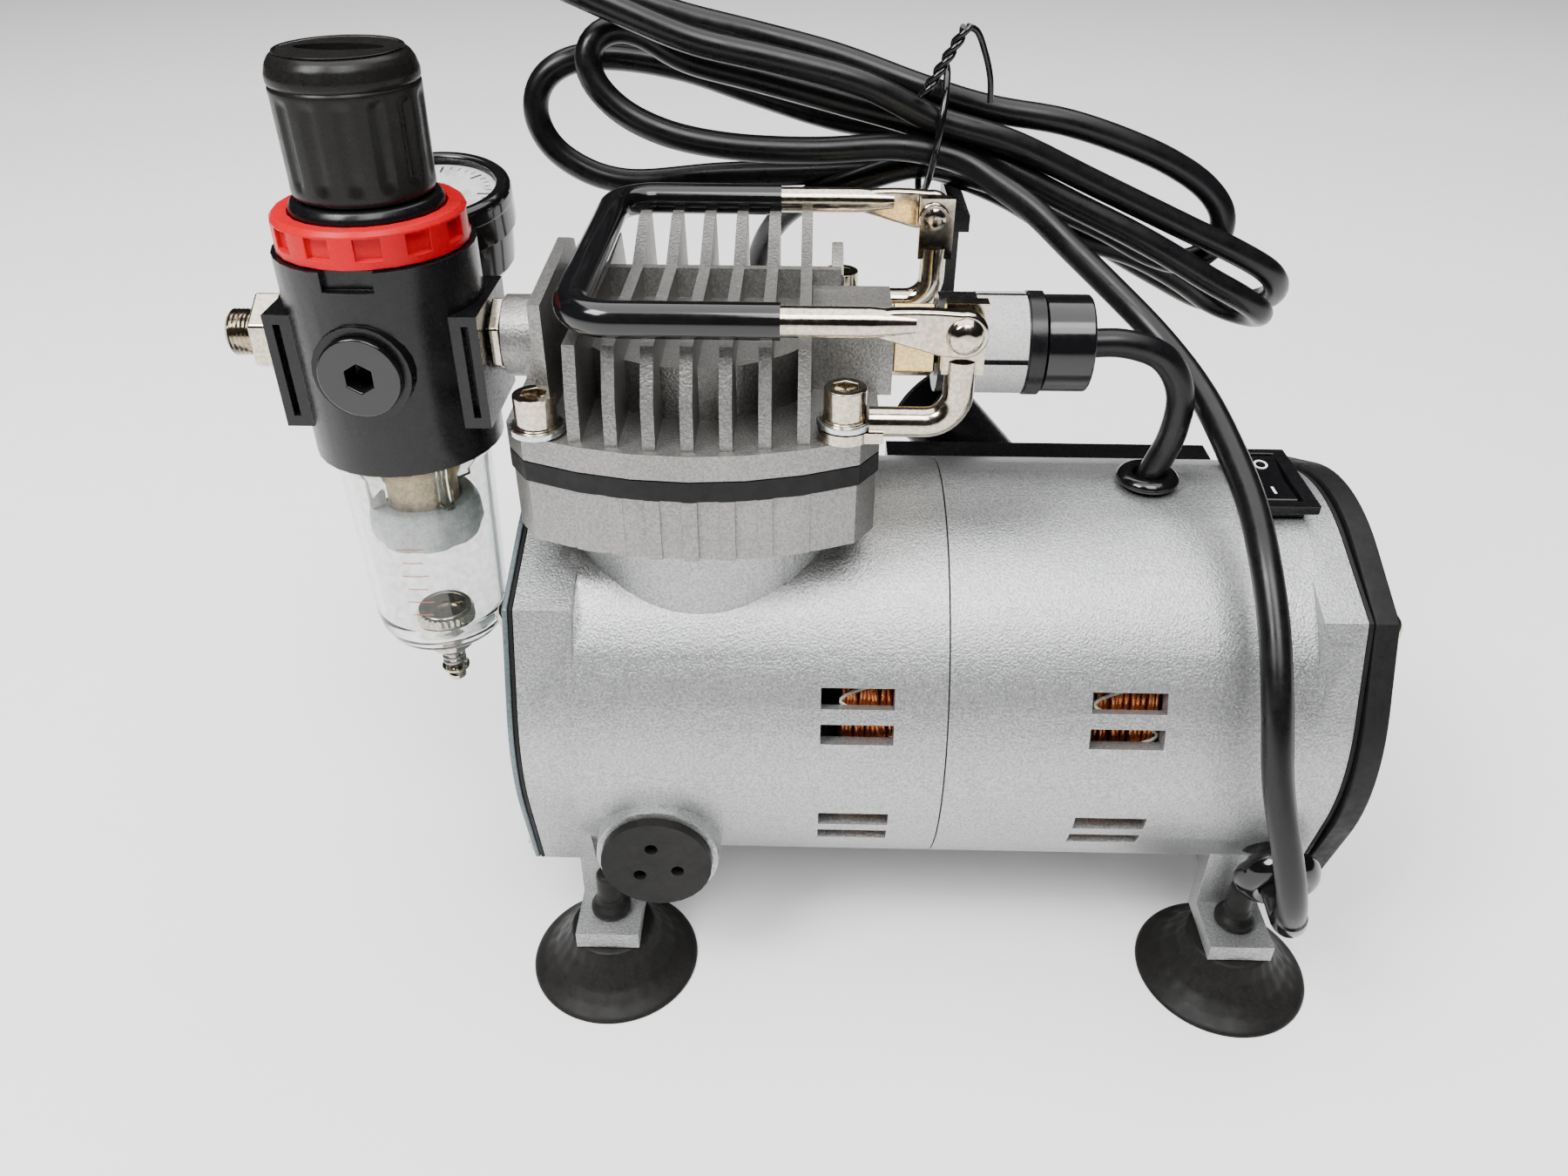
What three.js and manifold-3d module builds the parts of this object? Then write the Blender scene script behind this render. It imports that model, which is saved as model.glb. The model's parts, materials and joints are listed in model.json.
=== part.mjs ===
// Single-cylinder piston airbrush compressor: motor and crankcase in one aluminium body, a finned head
// with a folding handle, a filter-regulator with a gauge, a pressure switch, four suction feet and a
// mains lead that ends in a tied hank. Millimetres, +Z up, the front at -Y, the motor shaft along X.
//
// Inside this file the shaft is the line y = 0, z = 0 and the cylinder stands at x = 0. The group is
// then placed so that its origin is the middle of the footprint, on the surface the feet stand on.
import * as THREE from "three";
import { mergeVertices } from "three/addons/utils/BufferGeometryUtils.js";
import Module from "manifold-3d";

const wasm = await Module();
wasm.setup();

// ---------------------------------------------------------------- driving dimensions
const ORIGIN = [23.15, 6.55, -64]; // middle of the footprint, with the ground 64 below the shaft
const GROUND = ORIGIN[2];
const GAP = 0.3; // clearance between pieces that touch

const BODY = { r: 48, inside: 44, left: -38, seam: 52.5, right: 137.5 };
const END = { r: 46.5, reach: 51.6, left: 12, right: 9, corners: [45, 135, 219, 321] };
const SLOT = { half: 2.3, angles: [24.8, 15.2, -14.3, -23.1], left: [26, 41.4], right: [82.4, 98] };
const INTAKE = { x: -9.8, z: -21.5, r: 13.7, front: -49.6 };
const LEG = { x: [-23, 125.8], y: 42.9, face: 37.6, half: 7.4, ear: [-51, -46.6] };
const FOOT = { r: 20, shoulder: -51.3, tip: -34 };

const SHAFT_R = 4;
const CRANK = { throw: 3.5, disc: [5.6, 11], weight: 21, pin: 4 };
const ROD = { half: 4, small: 49, bigR: 8.5, smallR: 5.4 };
const PISTON = { r: 14.7, skirt: 45, top: 64.6, hollow: 10.6, ceiling: 61.6 };
const BORE = 15;
const LINER = 18;
const STATOR = { x: [44.3, 83.8], r: 43.5, bore: 22.2, slots: 6 };

const NECK = 33.7;
const FLANGE = [51.7, 65];
const VALVE_PLATE = [65.3, 69.4];
const HEAD = [69.7, 75];
const HEAD_HALF = [36.4, 33.2]; // corners of the head's outline
const HEAD_BULGE = 41; // reach of its front and back
const BOLT = { x: 29.3, y: 31.4, r: 4.1, washer: 5, shank: 1.9 };
const EYE = 2.1; // thickness of the handle brackets' flattened eyes
const FIN = { pitch: 7.2, thick: 2.4, top: 93.3, peak: 98.5 };
const WEB_Y = 12;

const PORT_Z = 81.5;
const HANDLE = { rod: 2.7, sleeve: 3.3, y: 36.3, z: 99.7, end: -21.3, corner: 9, pivot: [49.7, 97.8] };
const REG_X = -65.3;
const GAUGE = { r: 18.6, y: 39.2, top: 101.4, deep: 22, tilt: 9 };
const CORD_R = 3.1;
const SWITCH = { x: [117.4, 132.4], half: 13.3, top: 49.6 };
const GROMMET = { x: 97.5, z: 49.3 };
// Middle line of the pressure switch's cable, down into the grommet.
const CABLE = [
  [80.4, 0, 81.2],
  [88, 0, 81.3],
  [96.7, 0, 78.3],
  [101.8, 0, 70.5],
  [101.9, 0, 60.1],
  [99.4, 0, 52],
  [96.6, 0, 43],
];
// The lead leaves the body at `centre`, `lean` degrees below the horizontal, in a relief `taper` long.
const STRAIN = { centre: [129.5, -46, -24.6], lean: 16, taper: 20 };
// Middle line of the lead, from the relief up and over the body to the hank.
const LEAD = [
  [128.4, -60, -26],
  [126, -64.5, -19],
  [123.5, -65.5, -10],
  [120, -63.5, 2],
  [116.8, -60, 13.9],
  [115.1, -54, 29],
  [114.8, -44, 40.8],
  [114.1, -34, 49.5],
  [113.6, -22, 56.1],
  [111.5, -10, 61.8],
  [109.5, 3, 66],
  [106.1, 15, 69.9],
  [100.2, 25, 75],
  [92, 33, 81.3],
  [83.2, 40, 88],
  [74.1, 46, 95.2],
  [65, 51, 100.2],
  [58, 53.5, 104],
];
const HANK = { y: [49, 76.5], middle: [50, 105] };
// Outline of the tied hank from the front, x and z.
const HANK_OUTLINE = [
  [-48, 112],
  [-44, 126],
  [-45, 143],
  [-36, 147.5],
  [-10, 137],
  [51, 121.5],
  [84, 114],
  [118, 101.5],
  [129, 88],
  [144, 72],
  [136, 62],
  [112, 72],
  [72, 86],
  [51, 96],
  [10, 93.5],
  [-27, 91.5],
  [-40, 99],
];
// Middle line of the cord's tail, from the hank round behind the body to the plug.
const TAIL = [
  [40, 60.4, 99.5],
  [31, 61.5, 96],
  [23, 65, 92.5],
  [16, 70.5, 86.5],
  [11, 76.5, 78.5],
  [8, 81.5, 69],
  [7, 84.5, 57],
  [7.2, 86, 20],
  [9, 88, -12],
  [13, 91, -36],
  [23, 95, -51.5],
  [39, 99, -59.5],
  [54, 101.5, -60.2],
  [66, 102.6, -57.5],
  [79.4, 103, -54.6],
];
const PLUG = { x: 80.6, y: 103, z: -54.6 };

// ---------------------------------------------------------------- materials
const finish = (color, roughness, metalness = 0) =>
  new THREE.MeshStandardMaterial({ color, roughness, metalness });
const LOOK = {
  cast: finish(0xb4b5b8, 0.5, 0.6),
  black: finish(0x151516, 0.45),
  gloss: finish(0x0c0c0d, 0.2),
  rubber: finish(0x1b1b1b, 0.8),
  nickel: finish(0xc9c2b4, 0.2, 1),
  steel: finish(0x8e9094, 0.35, 1),
  copper: finish(0xb6552a, 0.4, 0.8),
  brass: finish(0xb8924a, 0.4, 0.9),
  red: finish(0xd3122c, 0.35),
  clear: finish(0xe8eef0, 0.1),
  white: finish(0xf0f0ec, 0.5),
};

// ---------------------------------------------------------------- solids
function solid(geometry) {
  const bare = geometry.clone();
  bare.deleteAttribute("normal");
  bare.deleteAttribute("uv");
  const merged = mergeVertices(bare, 1e-4);
  const triVerts = new Uint32Array(merged.index.array);
  const vertProperties = merged.attributes.position.array;
  return new wasm.Manifold(new wasm.Mesh({ numProp: 3, vertProperties, triVerts }));
}

const degrees = (a) => (a * Math.PI) / 180;
const polar = (r, a) => [r * Math.cos(degrees(a)), r * Math.sin(degrees(a))];
const strainAt = (distance) => {
  const [x, y, z] = STRAIN.centre;
  const [out, drop] = polar(distance, STRAIN.lean);
  return [x, y - out, z - drop];
};
const join = (...solids) => solids.reduce((a, b) => a.add(b));
const cut = (body, ...tools) => tools.reduce((a, b) => a.subtract(b), body);

function box([x0, x1], [y0, y1], [z0, z1]) {
  const shape = new THREE.BoxGeometry(x1 - x0, y1 - y0, z1 - z0);
  shape.translate((x0 + x1) / 2, (y0 + y1) / 2, (z0 + z1) / 2);
  return solid(shape);
}

// A round bar from one point to another. A second radius tapers it.
function bar(from, to, r, sides = 24, r2 = r) {
  const a = new THREE.Vector3(...from);
  const b = new THREE.Vector3(...to);
  const along = b.clone().sub(a);
  const shape = new THREE.CylinderGeometry(r2, r, along.length(), sides);
  const turn = new THREE.Quaternion();
  turn.setFromUnitVectors(new THREE.Vector3(0, 1, 0), along.clone().normalize());
  shape.applyQuaternion(turn);
  shape.translate(...a.add(b).multiplyScalar(0.5).toArray());
  return solid(shape);
}

const onX = (x, r, sides) => bar([x[0], 0, 0], [x[1], 0, 0], r, sides);
const onZ = (x, y, z, r, sides) => bar([x, y, z[0]], [x, y, z[1]], r, sides);
const ringX = (x, inner, outer, sides = 32) =>
  cut(onX(x, outer, sides), onX([x[0] - 1, x[1] + 1], inner, sides));

// A turned solid about the vertical through (x, y), from a closed profile of [radius, z] points
// listed with the outside going up.
function turned(x, y, profile, sides = 32) {
  const shape = new THREE.LatheGeometry(profile.map(([r, z]) => new THREE.Vector2(r, z)), sides);
  shape.rotateX(Math.PI / 2);
  shape.translate(x, y, 0);
  return solid(shape);
}

const outline = (points) => new THREE.Shape(points.map(([a, b]) => new THREE.Vector2(a, b)));

function slab(shape, [z0, z1], curveSegments = 8) {
  const options = { depth: z1 - z0, bevelEnabled: false, curveSegments };
  return solid(new THREE.ExtrudeGeometry(shape, options)).translate([0, 0, z0]);
}

// The same along X, for an outline drawn in y and z, and along Y, for one drawn in x and z.
const slabX = (shape, x, curve) => slab(shape, x, curve).rotate([90, 0, 90]);
const slabY = (shape, [y0, y1], curve) => slab(shape, [-y1, -y0], curve).rotate([90, 0, 0]);

// Points with each inner corner of a path replaced by an arc.
function rounded(points, radius, steps = 4) {
  const p = points.map((q) => new THREE.Vector3(...q));
  const path = [p[0]];
  for (let i = 1; i < p.length - 1; i++) {
    const u = p[i - 1].clone().sub(p[i]).normalize();
    const v = p[i + 1].clone().sub(p[i]).normalize();
    const half = u.angleTo(v) / 2;
    const middle = u.clone().add(v).normalize();
    const centre = p[i].clone().addScaledVector(middle, radius / Math.sin(half));
    const from = p[i].clone().addScaledVector(u, radius / Math.tan(half)).sub(centre);
    const to = p[i].clone().addScaledVector(v, radius / Math.tan(half)).sub(centre);
    const axis = from.clone().cross(to).normalize();
    const sweep = Math.PI - 2 * half;
    for (let k = 0; k <= steps; k++) {
      path.push(from.clone().applyAxisAngle(axis, (sweep * k) / steps).add(centre));
    }
  }
  path.push(p[p.length - 1]);
  return path;
}

// A path that an extrusion follows from place to place, with one section at each.
class Route extends THREE.Curve {
  constructor(places) {
    super();
    this.places = places.map((p) => (p.isVector3 ? p : new THREE.Vector3(...p)));
    this.steps = places.length - 1;
  }
  getPoint(t) {
    return this.places[Math.round(t * this.steps)].clone();
  }
  getPointAt(t) {
    return this.getPoint(t);
  }
  getTangent(t) {
    const i = Math.round(t * this.steps);
    const legs = [Math.max(i, 1), Math.min(i + 1, this.steps)];
    const sum = new THREE.Vector3();
    for (const k of legs) sum.add(this.places[k].clone().sub(this.places[k - 1]).normalize());
    return sum.normalize();
  }
  getTangentAt(t) {
    return this.getTangent(t);
  }
}

// A round tube from place to place.
function tube(places, r, sides = 10) {
  const path = new Route(places);
  const ring = [];
  for (let i = 0; i < sides; i++) ring.push(polar(r, (360 * i) / sides));
  const options = { steps: path.steps, extrudePath: path, bevelEnabled: false };
  return solid(new THREE.ExtrudeGeometry(outline(ring), options));
}

// Places on a smooth curve through a few points.
const smooth = (points, steps) =>
  new THREE.CatmullRomCurve3(
    points.map((p) => new THREE.Vector3(...p)),
    false,
    "centripetal",
  ).getSpacedPoints(steps);

// A hexagonal bar along X, measured across its flats.
const hexX = ([x0, x1], z, flats) => bar([x0, 0, z], [x1, 0, z], flats / Math.sqrt(3), 6);

// ---------------------------------------------------------------- assembly
const assembly = new THREE.Group();
assembly.position.set(...ORIGIN).negate();

function part(name, body, material) {
  const mesh = body.getMesh();
  const positions = new Float32Array(mesh.numVert * 3);
  for (let i = 0; i < mesh.numVert; i++) {
    const at = i * mesh.numProp;
    positions.set(mesh.vertProperties.subarray(at, at + 3), i * 3);
  }
  const geometry = new THREE.BufferGeometry();
  geometry.setAttribute("position", new THREE.BufferAttribute(positions, 3));
  geometry.setIndex(new THREE.BufferAttribute(mesh.triVerts, 1));
  geometry.computeVertexNormals();
  const piece = new THREE.Mesh(geometry, material.clone());
  piece.name = name;
  assembly.add(piece);
}

// ---------------------------------------------------------------- body
// The body's end: a circle with four pointed corners for the cover screws.
function endShape(r, reach) {
  const spread = (Math.acos(r / reach) * 180) / Math.PI;
  const shape = new THREE.Shape();
  END.corners.forEach((a, i) => {
    const next = END.corners[(i + 1) % 4] + (i === 3 ? 360 : 0);
    if (i) shape.lineTo(...polar(reach, a));
    else shape.moveTo(...polar(reach, a));
    shape.lineTo(...polar(r, a + spread));
    shape.absarc(0, 0, r, degrees(a + spread), degrees(next - spread), false);
  });
  shape.closePath();
  return shape;
}

function ventSlots(x) {
  const made = SLOT.angles.flatMap((a) =>
    [a, 180 - a].map((turn) =>
      box(x, [BODY.inside - 5, BODY.r + 5], [-SLOT.half, SLOT.half]).rotate([turn, 0, 0]),
    ),
  );
  return join(...made);
}

// A pair of legs, front and back, each with the ear that a foot's neck passes through.
function legs(x) {
  const made = [-1, 1].map((side) => {
    const span = (a, b) => [side * a, side * b].sort((p, q) => p - q);
    const ear = box([x - LEG.half, x + LEG.half], span(33, LEG.y + 8.1), LEG.ear);
    const web = box([x - LEG.half, x + LEG.half], span(33, LEG.face), [LEG.ear[0], -26]);
    const brace = box([x - 2, x + 2], span(22, 34), [LEG.ear[0] + 3, -38]);
    const hole = onZ(x, side * LEG.y, [LEG.ear[0] - 1, LEG.ear[1] + 1], 3.6, 12);
    return cut(join(ear, web, brace), hole);
  });
  return join(...made, box([x - 2, x + 2], [-24, 24], [-50, -43]));
}

function crankcase() {
  const end = slabX(endShape(END.r, END.reach), [BODY.left, BODY.left + END.left], 6);
  const barrel = onX([BODY.left + END.left - 1.5, BODY.seam], BODY.r, 48);
  const neck = onZ(0, 0, [30, FLANGE[0] - GAP], NECK, 40);
  const boss = bar([INTAKE.x, INTAKE.front, INTAKE.z], [INTAKE.x, -20, INTAKE.z], INTAKE.r, 28, 15.5);
  const hollow = onX([BODY.left - 1, BODY.seam + 1], BODY.inside, 36);
  const bulkhead = cut(onX([15, 24], BODY.inside + 1, 24), onX([10, 30], 9.4, 20));
  const liner = onZ(0, 0, [30, 60], LINER + GAP, 28);
  const intake = bar([INTAKE.x, -60, INTAKE.z], [INTAKE.x, -30, INTAKE.z], 10.6, 24);
  const shell = cut(join(end, barrel, neck, boss, legs(LEG.x[0])), hollow);
  return cut(join(shell, bulkhead), liner, intake, ventSlots(SLOT.left));
}

function motorHousing() {
  const barrel = onX([BODY.seam + GAP, BODY.right - END.right + 1.5], BODY.r, 48);
  const end = slabX(endShape(END.r, END.reach), [BODY.right - END.right, BODY.right], 6);
  const hollow = onX([BODY.seam - 1, BODY.right + 1], BODY.inside, 36);
  const bulkhead = cut(onX([103, 112], BODY.inside + 1, 24), onX([98, 118], 8.4, 20));
  const airways = [45, 135, 225, 315].map((a) => {
    const [y, z] = polar(25, a);
    return bar([100, y, z], [115, y, z], 9, 16);
  });
  const switchHole = box([SWITCH.x[0] + 1.9, SWITCH.x[1] - 1.9], [-11.7, 11.7], [30, 60]);
  const cableHole = onZ(GROMMET.x, 0, [30, 60], 4.6, 20);
  const cordHole = bar(strainAt(6), strainAt(-20), 6, 20);
  const shell = cut(join(barrel, end, legs(LEG.x[1])), hollow);
  return cut(
    join(shell, cut(bulkhead, ...airways)),
    ventSlots(SLOT.right),
    switchHole,
    cableHole,
    cordHole,
  );
}

function covers() {
  const plate = (x, r, reach) => slabX(endShape(r, reach), x, 6);
  const gasket = (x) => cut(plate(x, END.r, END.reach), onX([x[0] - 1, x[1] + 1], 41, 24));
  const left = BODY.left - 0.15;
  const right = BODY.right + 0.15;
  part("front_gasket", gasket([left - 0.8, left]), LOOK.rubber);
  part("front_cover", plate([left - 2.2, left - 1], END.r + 0.3, END.reach), LOOK.steel);
  part("end_gasket", gasket([right, right + 1]), LOOK.rubber);
  part("end_cover", plate([right + 1.2, right + 6.3], END.r + 1.4, END.reach), LOOK.black);
}

// ---------------------------------------------------------------- motor and crank
function motor() {
  const [s0, s1] = STATOR.x;
  const bars = [];
  const grooves = [];
  for (let i = 0; i < STATOR.slots; i++) {
    const turn = [(360 * i) / STATOR.slots, 0, 0];
    bars.push(box([s0 - 8, s1 + 8], [-4, 4], [STATOR.bore + 3, 35]).rotate(turn));
    grooves.push(box([s0 - 1, s1 + 1], [-4.4, 4.4], [STATOR.bore - 3, 35.4]).rotate(turn));
  }
  part("stator_core", cut(ringX(STATOR.x, STATOR.bore, STATOR.r), ...grooves), LOOK.steel);
  const ends = [ringX([30.5, s0 - 0.4], 25, 41, 24), ringX([s1 + 0.4, 97.5], 25, 41, 24)];
  part("stator_winding", join(...ends, ...bars), LOOK.copper);
  part("rotor", ringX([s0 + 1, s1 - 1], SHAFT_R + 0.2, STATOR.bore - 1, 28), LOOK.steel);
  part("motor_shaft", onX([CRANK.disc[0] + 0.2, 124.5], SHAFT_R, 20), LOOK.steel);
  part("front_bearing", ringX([16, 23], SHAFT_R + 0.3, 9, 20), LOOK.steel);
  part("rear_bearing", ringX([104, 111], SHAFT_R + 0.3, 8, 20), LOOK.steel);

  const blades = [];
  for (let i = 0; i < 8; i++) {
    blades.push(box([114, 123.5], [-0.8, 0.8], [7, 31.5]).rotate([45 * i, 0, 0]));
  }
  const bore = onX([110, 130], SHAFT_R + 0.3, 20);
  const wheel = join(onX([113.5, 115], 32, 28), onX([113.5, 123.5], 8, 20), ...blades);
  part("cooling_fan", cut(wheel, bore), LOOK.black);
}

// Crank, connecting rod and piston at top dead centre. The rod's wrist pin floats in the piston's hollow.
function crankDrive() {
  const [x0, x1] = CRANK.disc;
  const top = CRANK.throw;
  const weight = cut(onX([x0, x1], CRANK.weight, 28), box([0, 20], [-30, 30], [-30, 2]));
  const pin = bar([-ROD.half - 0.6, 0, top], [x0, 0, top], CRANK.pin, 20);
  const disc = join(onX([x0, x1], 11, 28), weight, onX([x0 - 0.9, x0 + 1], 8, 20), pin);
  part("crank", cut(disc, onX([x0 + 0.1, x1 + 1], SHAFT_R + 0.3, 20)), LOOK.steel);

  const big = bar([-ROD.half, 0, top], [ROD.half, 0, top], ROD.bigR, 24);
  const small = bar([-ROD.half, 0, ROD.small], [ROD.half, 0, ROD.small], ROD.smallR, 20);
  const stem = slabX(outline([[-4, top], [4, top], [2.6, 45], [-2.6, 45]]), [-2.5, 2.5]);
  const eye = bar([-9, 0, top], [9, 0, top], CRANK.pin + GAP, 20);
  const wristPin = bar([-6.8, 0, ROD.small], [6.8, 0, ROD.small], 2.6, 16);
  part("connecting_rod", join(cut(join(big, stem), eye), small, wristPin), LOOK.cast);

  const ring = cut(onZ(0, 0, [59, 60.4], 16, 28), onZ(0, 0, [58, 62], 13.9, 28));
  const crown = onZ(0, 0, [PISTON.skirt, PISTON.top], PISTON.r, 28);
  const hollow = onZ(0, 0, [PISTON.skirt - 1, PISTON.ceiling], PISTON.hollow, 20);
  part("piston", cut(crown, hollow, ring), LOOK.cast);
}

// ---------------------------------------------------------------- cylinder and head
// The outline that the cylinder's flange, the valve plate and the head share.
function headShape(grow = 0) {
  const x = HEAD_HALF[0] + grow;
  const y = HEAD_HALF[1] + grow;
  const reach = HEAD_BULGE + grow;
  const shape = new THREE.Shape();
  shape.moveTo(-x + 4, -y);
  shape.quadraticCurveTo(0, -2 * reach + y, x - 4, -y);
  shape.lineTo(x, -y + 6);
  shape.lineTo(x, y - 6);
  shape.lineTo(x - 4, y);
  shape.quadraticCurveTo(0, 2 * reach - y, -x + 4, y);
  shape.lineTo(-x, y - 6);
  shape.lineTo(-x, -y + 6);
  shape.closePath();
  return shape;
}

const atBolts = (made) => [-1, 1].flatMap((i) => [-1, 1].map((j) => made(i * BOLT.x, j * BOLT.y)));
const boltHoles = (z) => atBolts((x, y) => onZ(x, y, z, BOLT.shank + GAP, 10));

function cylinder() {
  const grooves = [];
  for (let i = -5; i <= 4; i++) {
    const x = (i + 0.5) * FIN.pitch;
    const lip = HEAD_BULGE - 1.3 - (x * x) / 170;
    for (const side of [-1, 1]) {
      const y = [side * lip, side * 50].sort((a, b) => a - b);
      grooves.push(box([x - 2.1, x + 2.1], y, [FLANGE[0] - 1, FLANGE[1] + 1]));
    }
  }
  const flange = cut(slab(headShape(-0.4), FLANGE, 6), ...grooves);
  const liner = onZ(0, 0, [36, FLANGE[1]], LINER, 28);
  const bore = onZ(0, 0, [30, 70], BORE, 32);
  part("cylinder", cut(join(flange, liner), bore, ...boltHoles([50, 70])), LOOK.cast);

  const port = (x) => onZ(x, 0, [60, 75], 3, 16);
  const plate = slab(headShape(), VALVE_PLATE, 6);
  part("valve_plate", cut(plate, port(-7), port(7), ...boltHoles([60, 75])), LOOK.black);
}

// One cooling fin, from the front edge to the web and on to its peak at the back.
function fin(x, front, back, peak) {
  const shape = outline([
    [-front, HEAD[1] - 1],
    [-front + 1, HEAD[1] + 9],
    [-32.8, FIN.top],
    [WEB_Y, FIN.top - 0.8],
    [back - 9, peak],
    [back - 4.5, peak],
    [back, HEAD[1] + 8],
    [back, HEAD[1] - 1],
  ]);
  return slabX(shape, [x - FIN.thick / 2, x + FIN.thick / 2]);
}

function head() {
  const fins = [];
  for (let i = -3; i <= 3; i++) {
    const x = i * FIN.pitch;
    const front = 39.3 - (x * x) / 140;
    fins.push(fin(x, front, 36, i === -3 ? FIN.top : FIN.peak));
  }
  const tall = outline([[-30, 74], [-27, 98], [8, 99.8], [13, 98], [20, 82], [20, 74]]);
  const short = outline([[WEB_Y, 74], [WEB_Y, 91], [20, 94.5], [24.5, 94], [25.5, 74]]);
  fins.push(slabX(tall, [-30, -27.6]), slabX(short, [27.1, 29.5]));
  const web = box([-29, 29], [WEB_Y - 1, WEB_Y + 1], [74, FIN.top - 0.8]);
  const dome = onZ(0, 0, [74, 86], 26, 32);
  const inlet = join(
    bar([-40.6, 0, PORT_Z], [-28, 0, PORT_Z], 8.5, 24),
    box([-36.1, -24], [-8.4, 8.4], [74, PORT_Z]),
  );
  const outlet = box([23, 39.3], [-11, 11], [74, 89]);
  const chamber = onZ(0, 0, [HEAD[0] - 1, 81], 21, 24);
  const passage = bar([-45, 0, PORT_Z - 2], [0, 0, PORT_Z - 2], 1.8, 12);
  const threads = [
    bar([-45, 0, PORT_Z], [-32, 0, PORT_Z], 4.9, 16),
    bar([45, 0, PORT_Z], [31, 0, PORT_Z], 4.9, 16),
    bar([45, 0, PORT_Z - 2], [0, 0, PORT_Z - 2], 1.8, 12),
  ];
  const room = atBolts((x, y) => onZ(x, y, [HEAD[1], 110], 5.7, 16));
  const base = slab(headShape(), HEAD, 6);
  const raised = cut(join(...fins, web, dome, inlet, outlet), ...room);
  const body = cut(join(base, raised), chamber, passage, ...threads, ...boltHoles([60, 80]));
  part("cylinder_head", body, LOOK.cast);

  let index = 1;
  atBolts((x, y) => {
    const seat = HEAD[1] + 0.15 + (x > 0 ? EYE + 0.15 : 0);
    const cap = onZ(x, y, [seat + 1.5, seat + 7.8], BOLT.r, 20);
    const socket = onZ(x, y, [seat + 4.8, seat + 9], 2.6, 6);
    const washer = onZ(x, y, [seat, seat + 1.6], BOLT.washer, 20);
    const shank = onZ(x, y, [54, seat + 2], BOLT.shank, 10);
    part(`head_bolt_${index}`, cut(join(washer, cap, shank), socket), LOOK.nickel);
    index += 1;
  });
}

function intake() {
  const at = (y) => [INTAKE.x, y, INTAKE.z];
  const disc = bar(at(-52.2), at(INTAKE.front - 0.2), 12.4, 28);
  const spigot = bar(at(INTAKE.front - 1), at(-43.5), 10.3, 24);
  const pocket = bar(at(INTAKE.front + 0.3), at(-40), 8.6, 20);
  const holes = [100, 220, 340].map((a) => {
    const [x, z] = polar(5, a);
    return bar([INTAKE.x + x, -55, INTAKE.z + z], [INTAKE.x + x, -40, INTAKE.z + z], 1.5, 10);
  });
  part("intake_cap", cut(join(disc, spigot), pocket, ...holes), LOOK.rubber);
}

function feet() {
  const z = GROUND;
  const profile = [
    [0, z + 5.5],
    [12, z + 3],
    [18.8, z],
    [FOOT.r, z],
    [FOOT.r, z + 0.9],
    [15, z + 4.2],
    [9.6, FOOT.shoulder],
    [3.2, FOOT.shoulder],
    [3.2, LEG.ear[1] + GAP],
    [4.6, LEG.ear[1] + GAP],
    [4.6, LEG.ear[1] + 2.6],
    [2.8, LEG.ear[1] + 4.2],
    [2.8, FOOT.tip],
    [0, FOOT.tip],
  ];
  let index = 1;
  for (const x of LEG.x) {
    for (const y of [-LEG.y, LEG.y]) {
      part(`foot_${index}`, turned(x, y, profile, 18), LOOK.rubber);
      index += 1;
    }
  }
}

// ---------------------------------------------------------------- switches on the body

function powerSwitch() {
  const [x0, x1] = SWITCH.x;
  const bezel = box([x0, x1], [-SWITCH.half, SWITCH.half], [BODY.r + 0.2, SWITCH.top + 0.8]);
  const can = box([x0 + 2.2, x1 - 2.2], [-11.4, 11.4], [37, BODY.r + 1]);
  const well = box([x0 + 3, x1 - 3], [-10.8, 10.8], [41, 60]);
  part("switch_housing", cut(join(bezel, can), well), LOOK.black);
  const rocker = outline([
    [-9.6, 48],
    [-9.4, 49.8],
    [0, 49.4],
    [8.8, 51],
    [9.5, 49.4],
    [7.2, 46.2],
    [2.5, 43.8],
    [-2.5, 43.8],
    [-7.6, 45.6],
  ]);
  part("switch_rocker", slabX(rocker, [x0 + 3.3, x1 - 3.3]), LOOK.gloss);
}

function pressureSwitch() {
  const z = 81.2;
  const fitting = join(
    bar([31.4, 0, PORT_Z], [41, 0, PORT_Z], 4.6, 20),
    hexX([39.6, 48.2], PORT_Z, 14),
    bar([48, 0, z], [52, 0, z], 4.4, 20),
  );
  const duct = bar([30, 0, PORT_Z], [60, 0, PORT_Z], 1.6, 12);
  part("pressure_switch_fitting", cut(fitting, duct), LOOK.brass);
  const body = join(bar([48.6, 0, z], [67, 0, z], 10.3, 28), bar([67, 0, z], [70.2, 0, z], 10.7, 28));
  const socket = bar([45, 0, z], [52.4, 0, z], 4.8, 16);
  const mouth = bar([64, 0, z], [75, 0, z], 8.4, 20);
  part("pressure_switch", cut(body, socket, mouth), LOOK.black);
  const cap = join(bar([70.5, 0, z], [80.3, 0, z], 10, 28), bar([65, 0, z], [70.6, 0, z], 8, 20));
  part("pressure_switch_cap", cut(cap, bar([76, 0, z], [85, 0, z], CORD_R + GAP, 12)), LOOK.gloss);

  const cable = tube(smooth([[76.4, 0, 81.2], ...CABLE], 12), CORD_R - 0.1, 10);
  part("pressure_switch_cable", cable, LOOK.black);
  const hole = tube(smooth(CABLE.slice(4), 4), CORD_R + 0.3, 12);
  const grommet = turned(GROMMET.x, 0, [
    [0, 43],
    [4.2, 43],
    [4.2, BODY.r + 0.3],
    [5.6, BODY.r + 0.3],
    [6.8, BODY.r + 1.2],
    [6.8, BODY.r + 2.2],
    [5.6, BODY.r + 3.2],
    [0, BODY.r + 3.2],
  ], 20);
  part("cable_grommet", cut(grommet, hole), LOOK.gloss);
}

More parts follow.
